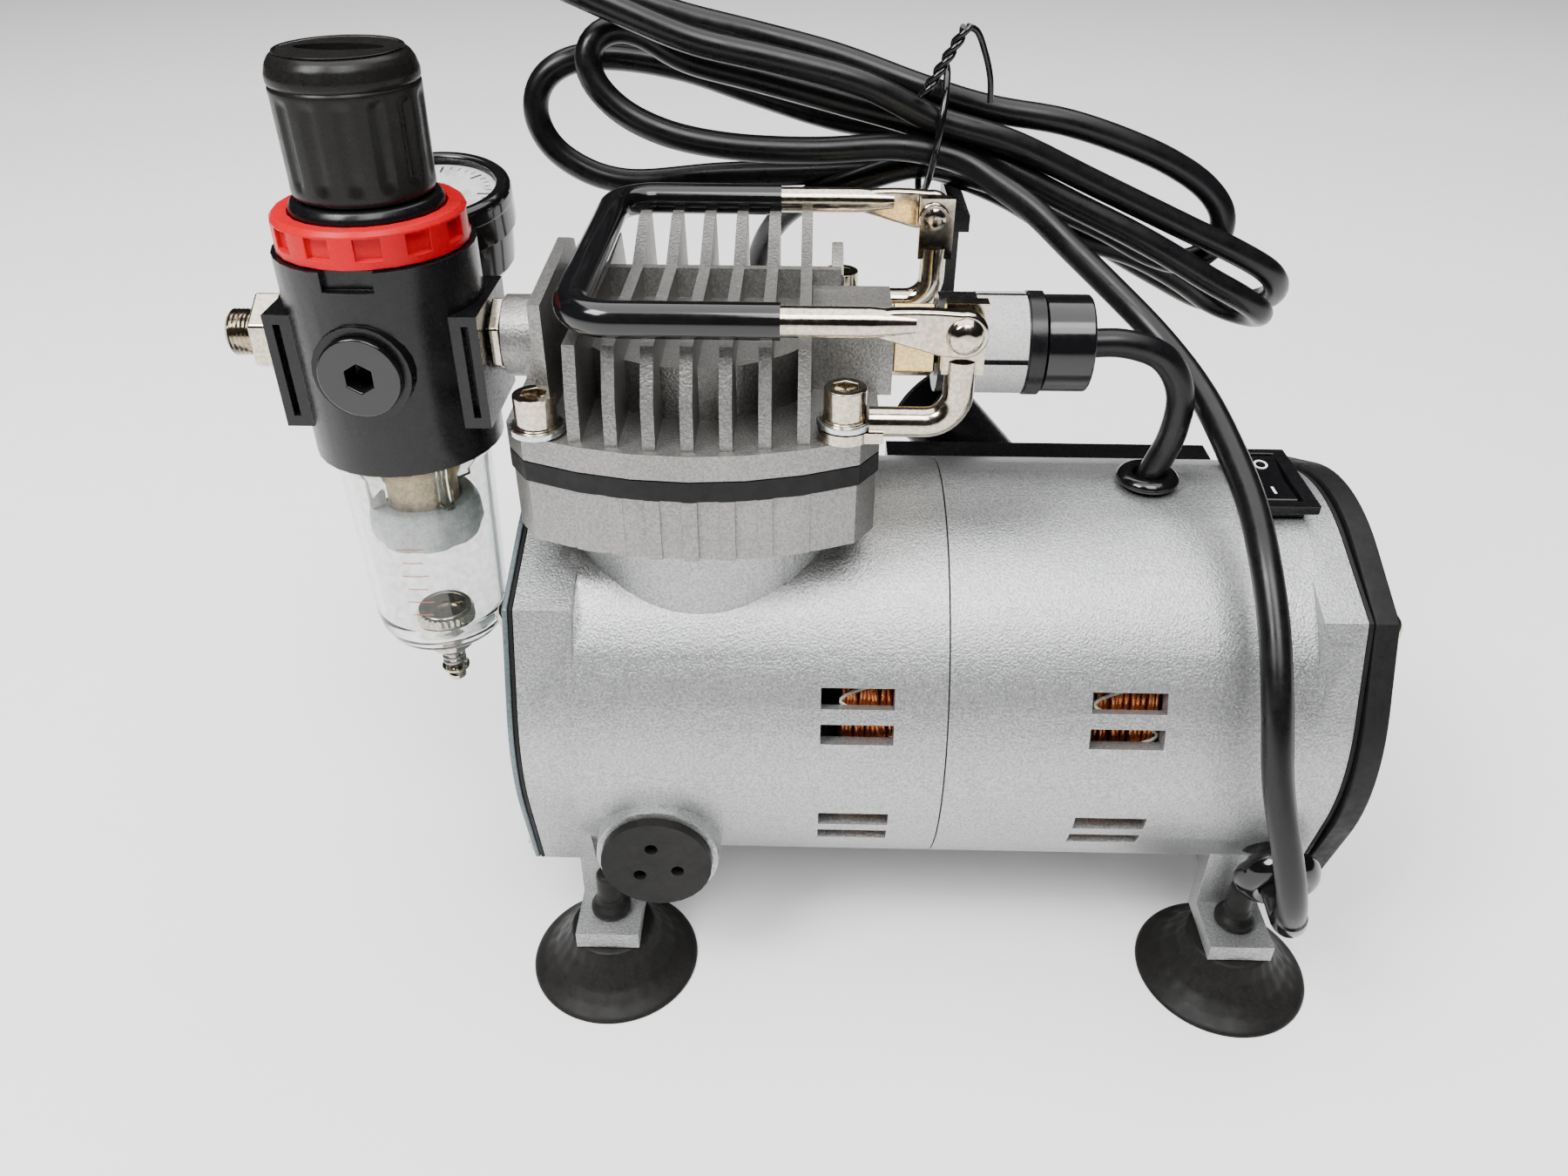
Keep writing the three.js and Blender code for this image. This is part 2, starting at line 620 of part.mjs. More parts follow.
// ---------------------------------------------------------------- folding handle
function handle() {
  const [px, pz] = HANDLE.pivot;
  let name = "handle_bracket_front";
  for (const side of [-1, 1]) {
    const y = side * BOLT.y;
    const span = (a, b) => [y + side * a, y + side * b].sort((p, q) => p - q);
    const seat = HEAD[1] + 0.15;
    const eye = cut(
      join(
        onZ(BOLT.x, y, [seat, seat + EYE], 5.2, 20),
        box([BOLT.x, 36.5], [y - 3.6, y + 3.6], [seat, seat + EYE]),
      ),
      onZ(BOLT.x, y, [70, 80], BOLT.shank + GAP, 10),
    );
    const route = rounded([[35.6, y, 78.1], [50.2, y, 78.1], [50.2, y, 90]], 6);
    const rod = tube(route, 2.8, 10);
    const blade = box([46.6, 54.2], span(-1.5, 1.5), [88.5, 102]);
    const rivet = bar([px, y - side * 1.4, pz], [px, y + side * 7.4, pz], 1.9, 12);
    const domes = bar([px, y - side * 1.4, pz], [px, y - side * 3, pz], 3.2, 16);
    const clipped = cut(join(eye, rod, blade, rivet, domes), onZ(BOLT.x, y, [seat + EYE, 86], 5.4, 16));
    part(name, clipped, LOOK.nickel);
    name = "handle_bracket_back";
  }

  const { y, z, end, corner } = HANDLE;
  const route = rounded([[39, -y, z], [end, -y, z], [end, y, z], [39, y, z]], corner);
  const rod = tube(route, HANDLE.rod, 10);
  const lugs = [-1, 1].map((side) => {
    const span = [side * (y - 1.5), side * (y + 1.5)].sort((p, q) => p - q);
    const lug = box([37, 53.6], span, [94.2, 102.4]);
    return cut(lug, bar([px, side * 30, pz], [px, side * 45, pz], 2.2, 12));
  });
  part("handle_bail", join(rod, ...lugs), LOOK.nickel);
  const cover = rounded([[17.2, -y, z], [end, -y, z], [end, y, z], [15.7, y, z]], corner);
  const longer = rounded([[30, -y, z], [end, -y, z], [end, y, z], [30, y, z]], corner);
  const hollow = tube(longer, HANDLE.rod + 0.25, 10);
  part("handle_sleeve", cut(tube(cover, HANDLE.sleeve, 10), hollow), LOOK.gloss);
}

// ---------------------------------------------------------------- filter-regulator
function regulator() {
  const x = REG_X;
  const at = (r, z, sides) => onZ(x, 0, z, r, sides);
  const wings = [-1, 1].map((side) => {
    const span = [x + side * 12, x + side * 21.5].sort((a, b) => a - b);
    const recess = [x + side * 18.2, x + side * 19.6].sort((a, b) => a - b);
    const wing = box(span, [-12, 12], [65.6, 90]);
    return cut(wing, box(recess, [-13, -9], [68, 88]), box(recess, [9, 13], [68, 88]));
  });
  const boss = bar([x, -21, PORT_Z], [x, 21, PORT_Z], 9.8, 24);
  const shell = join(at(20, [58, 101.3], 32), ...wings, boss);
  const body = cut(
    shell,
    at(14.6, [57, 66], 20),
    at(5.5, [50, 75], 12),
    at(13, [92, 110], 20),
    box([x - 5, x + 5], [-22, -17.5], [97.5, 110]),
    bar([x - 30, 0, PORT_Z], [x + 30, 0, PORT_Z], 4.9, 12),
    bar([x, -30, PORT_Z], [x, 30, PORT_Z], 4.9, 12),
  );
  part("regulator_body", body, LOOK.black);

  const plug = join(
    bar([x, -23, PORT_Z], [x, -21.3, PORT_Z], 8.2, 32),
    bar([x, -22, PORT_Z], [x, -9, PORT_Z], 4.6, 20),
  );
  part("port_plug", cut(plug, bar([x, -25, PORT_Z], [x, -17, PORT_Z], 3, 6)), LOOK.gloss);

  const duct = (x0, x1, r = 1.7) => bar([x0, 0, PORT_Z], [x1, 0, PORT_Z], r, 16);
  const inlet = join(duct(-53, -32.5, 4.6), hexX([-43.4, -40.9], PORT_Z, 14));
  part("inlet_nipple", cut(inlet, duct(-60, -30)), LOOK.nickel);
  const outlet = join(duct(-99.2, -77, 4.7), hexX([-92.6, -87.1], PORT_Z, 15));
  part("outlet_fitting", cut(outlet, duct(-105, -70, 2.4)), LOOK.nickel);

  const recesses = [];
  for (let i = 0; i < 12; i++) {
    const notch = box([17.6, 20], [-2.5, 2.5], [103.3, 107.4]).rotate([0, 0, 30 * i + 15]);
    recesses.push(notch.translate([x, 0, 0]));
  }
  const lock = turned(x, 0, [
    [15.4, 101.6],
    [19, 101.6],
    [19, 107.8],
    [18.2, 108.8],
    [15.4, 108.8],
    [15.4, 101.6],
  ], 24);
  part("lock_ring", cut(lock, ...recesses), LOOK.red);
  const bonnet = turned(x, 0, [
    [0, 92.3],
    [12.7, 92.3],
    [12.7, 101.6],
    [15.1, 101.6],
    [15.1, 109.8],
    [14.2, 111],
    [12.2, 111],
    [12.2, 124],
    [0, 124],
  ], 20);
  part("regulator_bonnet", cut(bonnet, at(8, [112, 130], 20)), LOOK.black);

  const knob = turned(x, 0, [
    [0, 111.3],
    [13.2, 111.3],
    [13.9, 113],
    [14, 132],
    [13.4, 135.2],
    [11.4, 137.4],
    [0, 137.4],
  ], 28);
  const well = cut(at(12.5, [105, 125], 28), at(7.6, [117, 126], 20));
  const slot = box([x - 5.5, x + 5.5], [-1.6, 1.6], [136.9, 140]);
  const keyed = cut(knob, well, slot);
  part("regulator_knob", keyed, LOOK.gloss);
}

function filter() {
  const x = REG_X;
  const bowl = turned(x, 0, [
    [4.4, 5.2],
    [9.6, 5.4],
    [13.9, 8.8],
    [15.4, 14],
    [16.8, 57.7],
    [14.2, 57.7],
    [14.2, 65.6],
    [12.6, 65.6],
    [12.6, 57],
    [14.6, 54],
    [13.2, 14.4],
    [9, 7.6],
    [4.4, 7.4],
    [4.4, 5.2],
  ], 24);
  part("filter_bowl", bowl, LOOK.clear);
  const baffle = turned(x, 0, [
    [0, 31.5],
    [5, 31.5],
    [11.6, 34],
    [12.6, 36.5],
    [12.4, 41],
    [11.2, 43.4],
    [8.6, 43.4],
    [8.6, 39.2],
    [0, 39.2],
  ], 20);
  part("filter_baffle", baffle, LOOK.white);
  const element = join(onZ(x, 0, [39.5, 57.5], 8, 24), onZ(x, 0, [57, 74], 5.2, 16));
  part("filter_element", cut(element, onZ(x, 0, [42, 80], 3.6, 12)), LOOK.brass);

  const seat = turned(x, 0, [
    [2.3, 0.7],
    [5.6, 0.7],
    [5.6, 4.2],
    [4.1, 4.9],
    [4.1, 7.7],
    [6.6, 7.7],
    [6.7, 11.6],
    [6.2, 12.3],
    [4.9, 12.3],
    [4.2, 9],
    [2.3, 9],
    [2.3, 0.7],
  ], 14);
  part("drain_seat", seat, LOOK.nickel);
  const valve = turned(x, 0, [
    [0, -10.5],
    [1.7, -10.5],
    [2.2, -9.8],
    [2.2, -8.8],
    [1.7, -8.2],
    [1.7, -7.4],
    [3.4, -7],
    [3.4, -6.2],
    [1.7, -6.2],
    [1.7, 9.3],
    [3.4, 9.4],
    [3.4, 10.4],
    [0, 10.4],
  ], 14);
  part("drain_valve", valve, LOOK.nickel);
  const coils = [];
  const turns = 4;
  for (let i = 0; i <= turns * 8; i++) {
    const [a, b] = polar(2.55, 45 * i);
    coils.push([x + a, b, -5.7 + (5.7 * i) / (turns * 8)]);
  }
  part("drain_spring", tube(coils, 0.36, 5), LOOK.steel);
}

// The gauge faces up and leans a little to the front, on an elbow from the regulator's back port.
function gauge() {
  const { r, y, top, deep, tilt } = GAUGE;
  const lean = (body) => body.rotate([tilt, 0, 0]).translate([REG_X, y, top]);
  const can = turned(0, 0, [
    [0, -deep],
    [14, -deep],
    [17, -deep + 3.5],
    [17.7, -9.8],
    [r, -9.6],
    [r, -1],
    [r - 1, 0],
    [r - 2.6, 0],
    [r - 3.2, -2.6],
    [0, -2.6],
  ], 24);
  const pin = turned(0, 0, [[0, -3], [0.7, -3], [0.7, -1.2], [0, -1.2]], 12);
  const [ey, ez] = [GAUGE.y + deep * Math.sin(degrees(tilt)), top - deep * Math.cos(degrees(tilt))];
  const stub = bar([REG_X, 9, PORT_Z], [REG_X, 26, PORT_Z], 4.6, 20);
  const neck = box([REG_X - 6, REG_X + 6], [24, ey + 6], [PORT_Z - 6.5, ez + 2]);
  const outside = cut(neck, lean(onZ(0, 0, [-deep + 1, 0], 30, 24)));
  part("gauge_case", join(lean(join(can, pin)), outside, stub), LOOK.gloss);
  const hand = outline([[-0.9, -4.5], [0.9, -4.5], [1.1, 0], [0.35, 12.6], [-0.35, 12.6], [-1.1, 0]]);
  const boss = onZ(0, 0, [-2.2, -1.5], 2.1, 16);
  const needle = cut(join(slab(hand, [-2.1, -1.6]), boss), onZ(0, 0, [-5, 5], 1, 12));
  part("gauge_needle", lean(needle.rotate([0, 0, 135])), LOOK.black);
}

// ---------------------------------------------------------------- holder for two airbrushes, at the back
function holder() {
  const rail = box([43, 126], [38, 46], [12, 34.2]);
  const along = [0.69, -0.72];
  const at = (d) => [53 + along[0] * d, 60, 40 + along[1] * d];
  const cup = cut(bar(at(0), at(44), 10.4, 24, 9), bar(at(-1), at(38), 8.4, 20, 7.4));
  const arm = box([56, 74], [42, 52], [12, 24]);
  const post = box([55.5, 60.5], [70, 76], [8, 96]);
  const foot = box([55.5, 74], [66, 76], [8, 16]);
  const cradle = box([55.5, 60.5], [51, 76], [88, 99]);
  const body = join(rail, cup, arm, post, foot, cradle);
  const clear = onX([40, 130], BODY.r + GAP, 48);
  part("airbrush_holder", cut(body, clear, hankSolid(GAP)), LOOK.black);
}

// ---------------------------------------------------------------- mains lead

function hankSolid(grow = 0) {
  const path = new THREE.CatmullRomCurve3(
    HANK_OUTLINE.map(([x, z]) => new THREE.Vector3(x, z, 0)),
    true,
    "centripetal",
  );
  const ring = path.getPoints(44).slice(0, -1);
  const middle = new THREE.Vector3(...HANK.middle, 0);
  const grown = ring.map((p) => {
    const out = p.clone().sub(middle).setLength(grow);
    return [p.x + out.x, p.y + out.y];
  });
  return slabY(outline(grown.reverse()), [HANK.y[0] - grow, HANK.y[1] + grow]);
}

function mainsLead() {
  const places = [strainAt(1), strainAt(8), ...LEAD];
  const points = places.map((p) => new THREE.Vector3(...p));
  const curve = new THREE.CatmullRomCurve3(points, false, "centripetal");
  const share = STRAIN.taper / curve.getLength();
  const start = [];
  for (let i = 0; i <= 8; i++) start.push(curve.getPointAt((share * i) / 8));
  const rings = [9, 6].map((count, i) => tube(start.slice(0, count), CORD_R + 0.7 + 0.7 * i, 10));
  const flange = bar(strainAt(0.5), strainAt(6), 9.3, 24, 7.4);
  const plugIn = bar(strainAt(-8), strainAt(1), 5.6, 16);
  part("strain_relief", join(plugIn, flange, ...rings), LOOK.gloss);

  const rest = [];
  for (let i = 0; i <= 22; i++) rest.push(curve.getPointAt(share + 0.006 + ((0.994 - share) * i) / 22));
  part("mains_cord", cut(tube(rest, CORD_R, 8), hankSolid(GAP)), LOOK.black);
  part("cord_tail", cut(tube(smooth(TAIL, 22), CORD_R, 8), hankSolid(GAP)), LOOK.black);
  part("cord_hank", hankSolid(), LOOK.black);

  const { x, y, z } = PLUG;
  const grip = bar([x - 0.2, y, z], [x + 14, y, z], 4.2, 16, 6.6);
  const front = [[-11.5, -9.2], [11.5, -9.2], [11.5, 2], [6.5, 9.2], [-6.5, 9.2], [-11.5, 2]];
  const head = slabX(outline(front), [x + 12, x + 33]);
  const pins = [-6.35, 6.35].map((side) =>
    box([x + 32, x + 50.5], [y + side - 0.8, y + side + 0.8], [z - 6.4, z]),
  );
  const earth = bar([x + 32, y, z + 5.2], [x + 53, y, z + 5.2], 2.4, 12);
  part("plug", join(grip, head.translate([0, y, z]), ...pins, earth), LOOK.black);
}

part("crankcase", crankcase(), LOOK.cast);
part("motor_housing", motorHousing(), LOOK.cast);
covers();
motor();
crankDrive();
cylinder();
head();
intake();
feet();
powerSwitch();
pressureSwitch();
handle();
regulator();
filter();
gauge();
holder();
mainsLead();

export default assembly;
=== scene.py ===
import json
import math
import random

import bmesh
import bpy
from mathutils import Matrix, Vector


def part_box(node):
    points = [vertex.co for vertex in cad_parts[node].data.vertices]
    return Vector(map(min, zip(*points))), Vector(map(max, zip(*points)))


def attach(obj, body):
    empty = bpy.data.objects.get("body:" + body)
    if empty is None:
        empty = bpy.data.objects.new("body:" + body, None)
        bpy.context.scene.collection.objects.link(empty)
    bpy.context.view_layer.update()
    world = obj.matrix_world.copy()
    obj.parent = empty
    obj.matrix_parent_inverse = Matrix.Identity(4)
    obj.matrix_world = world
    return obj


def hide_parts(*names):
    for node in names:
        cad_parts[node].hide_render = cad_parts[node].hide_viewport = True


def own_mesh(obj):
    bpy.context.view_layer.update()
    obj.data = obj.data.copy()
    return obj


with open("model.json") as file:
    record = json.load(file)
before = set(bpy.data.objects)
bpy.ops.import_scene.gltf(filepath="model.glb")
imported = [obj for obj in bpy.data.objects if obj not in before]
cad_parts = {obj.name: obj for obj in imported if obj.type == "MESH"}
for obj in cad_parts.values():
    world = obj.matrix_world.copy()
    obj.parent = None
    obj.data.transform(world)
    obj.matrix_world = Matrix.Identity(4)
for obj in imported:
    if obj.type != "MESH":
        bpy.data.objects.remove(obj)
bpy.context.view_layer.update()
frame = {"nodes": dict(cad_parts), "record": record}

NODES = frame["nodes"]
BODY_OF = {n: b for b, members in frame["record"]["behaviour"]["bodies"].items() for n in members}
SLOT_OF = {s["node"]: s["material_slot"] for s in frame["record"]["subparts"]}

# Lengths below are millimetres from the motor shaft's line under the cylinder, as in the CAD source.
ORIGIN = Vector((23.15, 6.55, -64))
TO_FRAME = Matrix.Scale(0.001, 4) @ Matrix.Translation(-ORIGIN)

# ---------------------------------------------------------------- camera
PITCH = math.radians(34.323)
YAW = math.radians(-1.152)
ROLL = math.radians(-0.253)
CAMERA_AT = Vector((22.07, -236.37, 179.57))
LENS = 27.453
SENSOR = 36


def make_camera():
    forward = Vector((
        math.sin(YAW) * math.cos(PITCH),
        math.cos(YAW) * math.cos(PITCH),
        -math.sin(PITCH),
    ))
    right = Vector((math.cos(YAW), -math.sin(YAW), 0))
    down = forward.cross(right)
    across = right * math.cos(ROLL) + down * math.sin(ROLL)
    fall = down * math.cos(ROLL) - right * math.sin(ROLL)
    camera = bpy.data.objects.new("camera", bpy.data.cameras.new("camera"))
    camera.data.lens = LENS
    camera.data.sensor_width = SENSOR
    camera.data.clip_start = 0.01
    turn = Matrix((across, -fall, -forward)).transposed().to_4x4()
    camera.matrix_world = Matrix.Translation(TO_FRAME @ CAMERA_AT) @ turn
    bpy.context.scene.collection.objects.link(camera)
    bpy.context.scene.camera = camera


make_camera()


# ---------------------------------------------------------------- materials
def noise(tree, coordinates, scale, detail=3.0, rough=0.55):
    node = tree.nodes.new("ShaderNodeTexNoise")
    node.inputs["Scale"].default_value = scale
    node.inputs["Detail"].default_value = detail
    node.inputs["Roughness"].default_value = rough
    tree.links.new(coordinates, node.inputs["Vector"])
    return node.outputs[0]


def spread_to(tree, value, low, high, start=0.3, end=0.7):
    node = tree.nodes.new("ShaderNodeMapRange")
    node.inputs["From Min"].default_value = start
    node.inputs["From Max"].default_value = end
    node.inputs["To Min"].default_value = low
    node.inputs["To Max"].default_value = high
    tree.links.new(value, node.inputs["Value"])
    return node.outputs[0]


def mixed(tree, factor, a, b):
    node = tree.nodes.new("ShaderNodeMix")
    node.data_type = "RGBA"
    tree.links.new(factor, node.inputs[0])
    for value, socket in ((a, node.inputs[6]), (b, node.inputs[7])):
        if isinstance(value, bpy.types.NodeSocket):
            tree.links.new(value, socket)
        else:
            socket.default_value = (*value, 1)
    return node.outputs[2]


def finish(name, colour, rough, metal=0.0, tone=0.1, broad=45, grain=1500, bump=0.2, depth=0.05,
           spread=0.2, scuff=0.0, sparkle=0.5, stripes=None, **fixed):
    """A surface with uneven colour and gloss, a fine sparkling grain, and optional scuffs and stripes."""
    material = bpy.data.materials.new(name)
    material.use_nodes = True
    tree = material.node_tree
    shader = tree.nodes["Principled BSDF"]
    coordinates = tree.nodes.new("ShaderNodeTexCoord").outputs["Object"]
    dark = [c * (1 - tone) for c in colour]
    light = [min(1, c * (1 + tone)) for c in colour]
    patches = spread_to(tree, noise(tree, coordinates, broad, 4), 0, 1)
    base = mixed(tree, patches, dark, light)
    grains = noise(tree, coordinates, grain, 2)
    bright = spread_to(tree, grains, 0, sparkle, 0.48, 0.68)
    base = mixed(tree, bright, base, [min(1, c * 1.5) for c in colour])
    dull = spread_to(tree, grains, sparkle, 0, 0.32, 0.5)
    base = mixed(tree, dull, base, [c * 0.6 for c in colour])
    if scuff:
        worn = spread_to(tree, noise(tree, coordinates, broad * 5, 9, 0.7), 0, scuff, 0.58, 0.68)
        base = mixed(tree, worn, base, [c * 0.45 for c in colour])
    tree.links.new(base, shader.inputs["Base Color"])
    uneven = noise(tree, coordinates, grain / 4, 4)
    gloss = spread_to(tree, uneven, rough * (1 - spread), rough * (1 + spread))
    tree.links.new(gloss, shader.inputs["Roughness"])
    shader.inputs["Metallic"].default_value = metal
    relief = noise(tree, coordinates, grain, 3)
    if stripes:
        wave = tree.nodes.new("ShaderNodeTexWave")
        wave.bands_direction = stripes[0]
        wave.inputs["Scale"].default_value = stripes[1]
        wave.inputs["Distortion"].default_value = 1.5
        tree.links.new(coordinates, wave.inputs["Vector"])
        relief = wave.outputs[1]
    push = tree.nodes.new("ShaderNodeBump")
    push.inputs["Strength"].default_value = bump
    push.inputs["Distance"].default_value = depth / 1000
    tree.links.new(relief, push.inputs["Height"])
    tree.links.new(push.outputs[0], shader.inputs["Normal"])
    for socket, value in fixed.items():
        shader.inputs[socket.replace("_", " ")].default_value = value
    return material


PAINT = finish("silver_paint", (0.36, 0.365, 0.365), 0.36, 0.75, tone=0.05, grain=1900, bump=1, depth=0.16,
               spread=0.1, scuff=0.2, sparkle=0.6)
ALLOY = finish("blasted_alloy", (0.24, 0.235, 0.225), 0.38, 0.8, tone=0.08, grain=1900, bump=1, depth=0.16,
               spread=0.1, scuff=0.2, sparkle=0.55)
SATIN = finish("black_satin", (0.004, 0.004, 0.0045), 0.26, tone=0.3, grain=2600, bump=0.3, depth=0.03,
               Specular_IOR_Level=0.3)
GLOSS = finish("black_gloss", (0.004, 0.004, 0.0045), 0.12, tone=0.3, grain=900, bump=0.12, depth=0.03)
KNOB = finish("knob_plastic", (0.008, 0.0075, 0.007), 0.3, tone=0.2, grain=1900, bump=0.25, depth=0.03,
              Specular_IOR_Level=0.18)
MATTE = finish("black_gasket", (0.006, 0.006, 0.0065), 0.55, tone=0.3, grain=1800, bump=0.4, depth=0.06,
               Specular_IOR_Level=0.2)
RUBBER = finish("foot_rubber", (0.009, 0.0085, 0.008), 0.5, tone=0.4, grain=1100, bump=0.35, depth=0.08,
                scuff=0.2, Specular_IOR_Level=0.15)
CORD = finish("cord_jacket", (0.0035, 0.0035, 0.004), 0.3, tone=0.3, broad=70, grain=900, bump=0.2,
              depth=0.03, Specular_IOR_Level=0.3)
NICKEL = finish("bright_nickel", (0.52, 0.46, 0.37), 0.13, 1.0, tone=0.08, broad=90, grain=1300, bump=0.1,
                depth=0.03, spread=0.4, scuff=0.2)
ZINC = finish("zinc_plate", (0.6, 0.62, 0.64), 0.25, 1.0, tone=0.1, broad=120, grain=2500, bump=0.2,
              depth=0.02)
STEEL = finish("plain_steel", (0.42, 0.43, 0.44), 0.32, 1.0, tone=0.12, grain=2200, bump=0.25, depth=0.03)
COVER = finish("cover_steel", (0.12, 0.15, 0.16), 0.45, 0.6, tone=0.15, grain=1500, bump=0.25, depth=0.03)
IRON = finish("laminations", (0.22, 0.22, 0.23), 0.5, 0.9, tone=0.15, stripes=("X", 900), bump=0.6,
              depth=0.15)
COPPER = finish("enamelled_copper", (0.62, 0.2, 0.07), 0.28, 0.9, tone=0.3, broad=160, bump=0.3, depth=0.05)
COIL = finish("coil", (0.5, 0.16, 0.06), 0.35, 0.8, tone=0.35, stripes=("X", 420), bump=0.9, depth=0.4)
TAPE = finish("lacing_tape", (0.74, 0.7, 0.6), 0.7, tone=0.1, grain=2000, bump=0.5, depth=0.1)
BRASS = finish("brass", (0.7, 0.5, 0.22), 0.25, 1.0, tone=0.12, grain=1800, bump=0.2, depth=0.03)
BRONZE = finish("sintered_bronze", (0.62, 0.47, 0.27), 0.5, 0.8, tone=0.25, broad=300, grain=1400, bump=1.0,
                depth=0.35)
RED = finish("red_plastic", (0.5, 0.0, 0.008), 0.3, tone=0.1, grain=1600, bump=0.2, depth=0.03, sparkle=0.1,
             Specular_IOR_Level=0.12)
WHITE = finish("white_plastic", (0.74, 0.76, 0.77), 0.4, tone=0.06, grain=1700, bump=0.2, depth=0.04)
PAPER = finish("label_paper", (0.8, 0.8, 0.79), 0.5, tone=0.03, grain=2400, bump=0.15, depth=0.02)
INK = finish("dial_ink", (0.02, 0.02, 0.02), 0.5, tone=0.2)
TICKS = finish("red_ticks", (0.75, 0.16, 0.1), 0.45, tone=0.15)
CLEAR = finish("clear_bowl", (0.88, 0.9, 0.88), 0.04, tone=0.02, broad=30, grain=500, bump=0.06, depth=0.03,
               Transmission_Weight=1.0, IOR=1.4)
GLASS = finish("gauge_window", (0.97, 0.98, 0.98), 0.03, tone=0.01, broad=20, grain=300, bump=0.03,
               depth=0.01, Transmission_Weight=1.0, IOR=1.2)

LOOK_OF_SLOT = {
    "cast_body": PAINT, "cast_head": ALLOY, "black_plastic": SATIN, "gloss_black": GLOSS,
    "rubber_black": RUBBER, "cord_black": CORD, "nickel": NICKEL, "steel": STEEL, "iron": IRON,
    "copper": COIL, "brass": BRASS, "bronze": BRONZE, "red_plastic": RED, "clear_plastic": CLEAR,
    "white_plastic": WHITE,
}


# ---------------------------------------------------------------- making pieces
def place(piece, material, body, nodes):
    piece.data.materials.clear()
    piece.data.materials.append(material)
    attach(piece, body)
    if nodes:
        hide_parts(*nodes)
    return piece


def add(name, bm, material, body="base", nodes=(), bevel=0.0, steps=2, sharp=34):
    """A mesh piece from a bmesh in metres. A bevel, in mm, rounds the edges sharper than an angle."""
    mesh = bpy.data.meshes.new(name)
    bmesh.ops.recalc_face_normals(bm, faces=bm.faces)
    bm.to_mesh(mesh)
    bm.free()
    piece = bpy.data.objects.new(name, mesh)
    bpy.context.scene.collection.objects.link(piece)
    if bevel:
        edge = piece.modifiers.new("bevel", "BEVEL")
        edge.width = bevel / 1000
        edge.segments = steps
        edge.limit_method = "ANGLE"
        edge.angle_limit = math.radians(sharp)
        bpy.context.view_layer.update()
        rounded_mesh = bpy.data.meshes.new_from_object(
            piece.evaluated_get(bpy.context.evaluated_depsgraph_get()))
        piece.modifiers.clear()
        piece.data = rounded_mesh
    piece.data.polygons.foreach_set("use_smooth", [True] * len(piece.data.polygons))
    piece.data.set_sharp_from_angle(angle=math.radians(sharp))
    weigh = piece.modifiers.new("normals", "WEIGHTED_NORMAL")
    weigh.keep_sharp = True
    return place(piece, material, body, nodes)


def refined(node, material=None, bevel=0.35, steps=2, sharp=34):
    """A CAD node's shape with rounded edges and smooth shading, in place of the node."""
    bm = bmesh.new()
    bm.from_mesh(NODES[node].data)
    bmesh.ops.remove_doubles(bm, verts=bm.verts, dist=2e-6)
    bmesh.ops.dissolve_limit(bm, angle_limit=math.radians(0.7), verts=bm.verts, edges=bm.edges)
    material = material or LOOK_OF_SLOT[SLOT_OF[node]]
    return add(node + "_fine", bm, material, BODY_OF[node], [node], bevel, steps, sharp)


def soften(profile, radius, steps=3, closed=False):
    """The profile with each corner drawn as a small curve."""
    points = [Vector(p) for p in profile]
    count = len(points)
    out = []
    for i, p in enumerate(points):
        if not closed and i in (0, count - 1):
            out.append(p)
            continue
        before, after = points[i - 1] - p, points[(i + 1) % count] - p
        a = p + before.normalized() * min(radius, before.length * 0.45)
        b = p + after.normalized() * min(radius, after.length * 0.45)
        for k in range(steps + 1):
            t = k / steps
            out.append(a * (1 - t) ** 2 + p * 2 * t * (1 - t) + b * t * t)
    return [(q.x, q.y) for q in out]


def along(point, direction):
    turn = Vector(direction).to_track_quat("Z", "Y")
    return Matrix.Translation(Vector(point)) @ turn.to_matrix().to_4x4()


def revolve(profile, where=Matrix(), segments=64, closed=False, shape=None):
    """A turned surface about the local Z of a place. shape changes the radius by height and angle."""
    bm = bmesh.new()
    rings = []
    for r, h in profile:
        if r < 1e-6:
            rings.append([bm.verts.new((0, 0, h))])
            continue
        ring = []
        for k in range(segments):
            a = 2 * math.pi * k / segments
            rr = shape(r, h, a) if shape else r
            ring.append(bm.verts.new((rr * math.cos(a), rr * math.sin(a), h)))
        rings.append(ring)
    pairs = list(zip(rings, rings[1:]))
    if closed:
        pairs.append((rings[-1], rings[0]))
    for low, high in pairs:
        for k in range(segments):
            n = (k + 1) % segments
            if len(low) == 1 and len(high) == 1:
                break
            if len(low) == 1:
                bm.faces.new((low[0], high[n], high[k]))
            elif len(high) == 1:
                bm.faces.new((low[k], low[n], high[0]))
            else:
                bm.faces.new((low[k], low[n], high[n], high[k]))
    bm.transform(TO_FRAME @ where)
    return bm


def block(x, y, z, where=Matrix()):
    bm = bmesh.new()
    size = Matrix.Diagonal((x[1] - x[0], y[1] - y[0], z[1] - z[0], 1))
    centre = Matrix.Translation(((x[0] + x[1]) / 2, (y[0] + y[1]) / 2, (z[0] + z[1]) / 2))
    bmesh.ops.create_cube(bm, size=1, matrix=TO_FRAME @ where @ centre @ size)
    return bm


def prism(points, low, high, where=Matrix()):
    """An outline in the place's XY plane, from one height to another."""
    bm = bmesh.new()
    bottom = [bm.verts.new((a, b, low)) for a, b in points]
    top = [bm.verts.new((a, b, high)) for a, b in points]
    bm.faces.new(bottom[::-1])
    bm.faces.new(top)
    for k in range(len(points)):
        n = (k + 1) % len(points)
        bm.faces.new((bottom[k], bottom[n], top[n], top[k]))
    bm.transform(TO_FRAME @ where)
    return bm


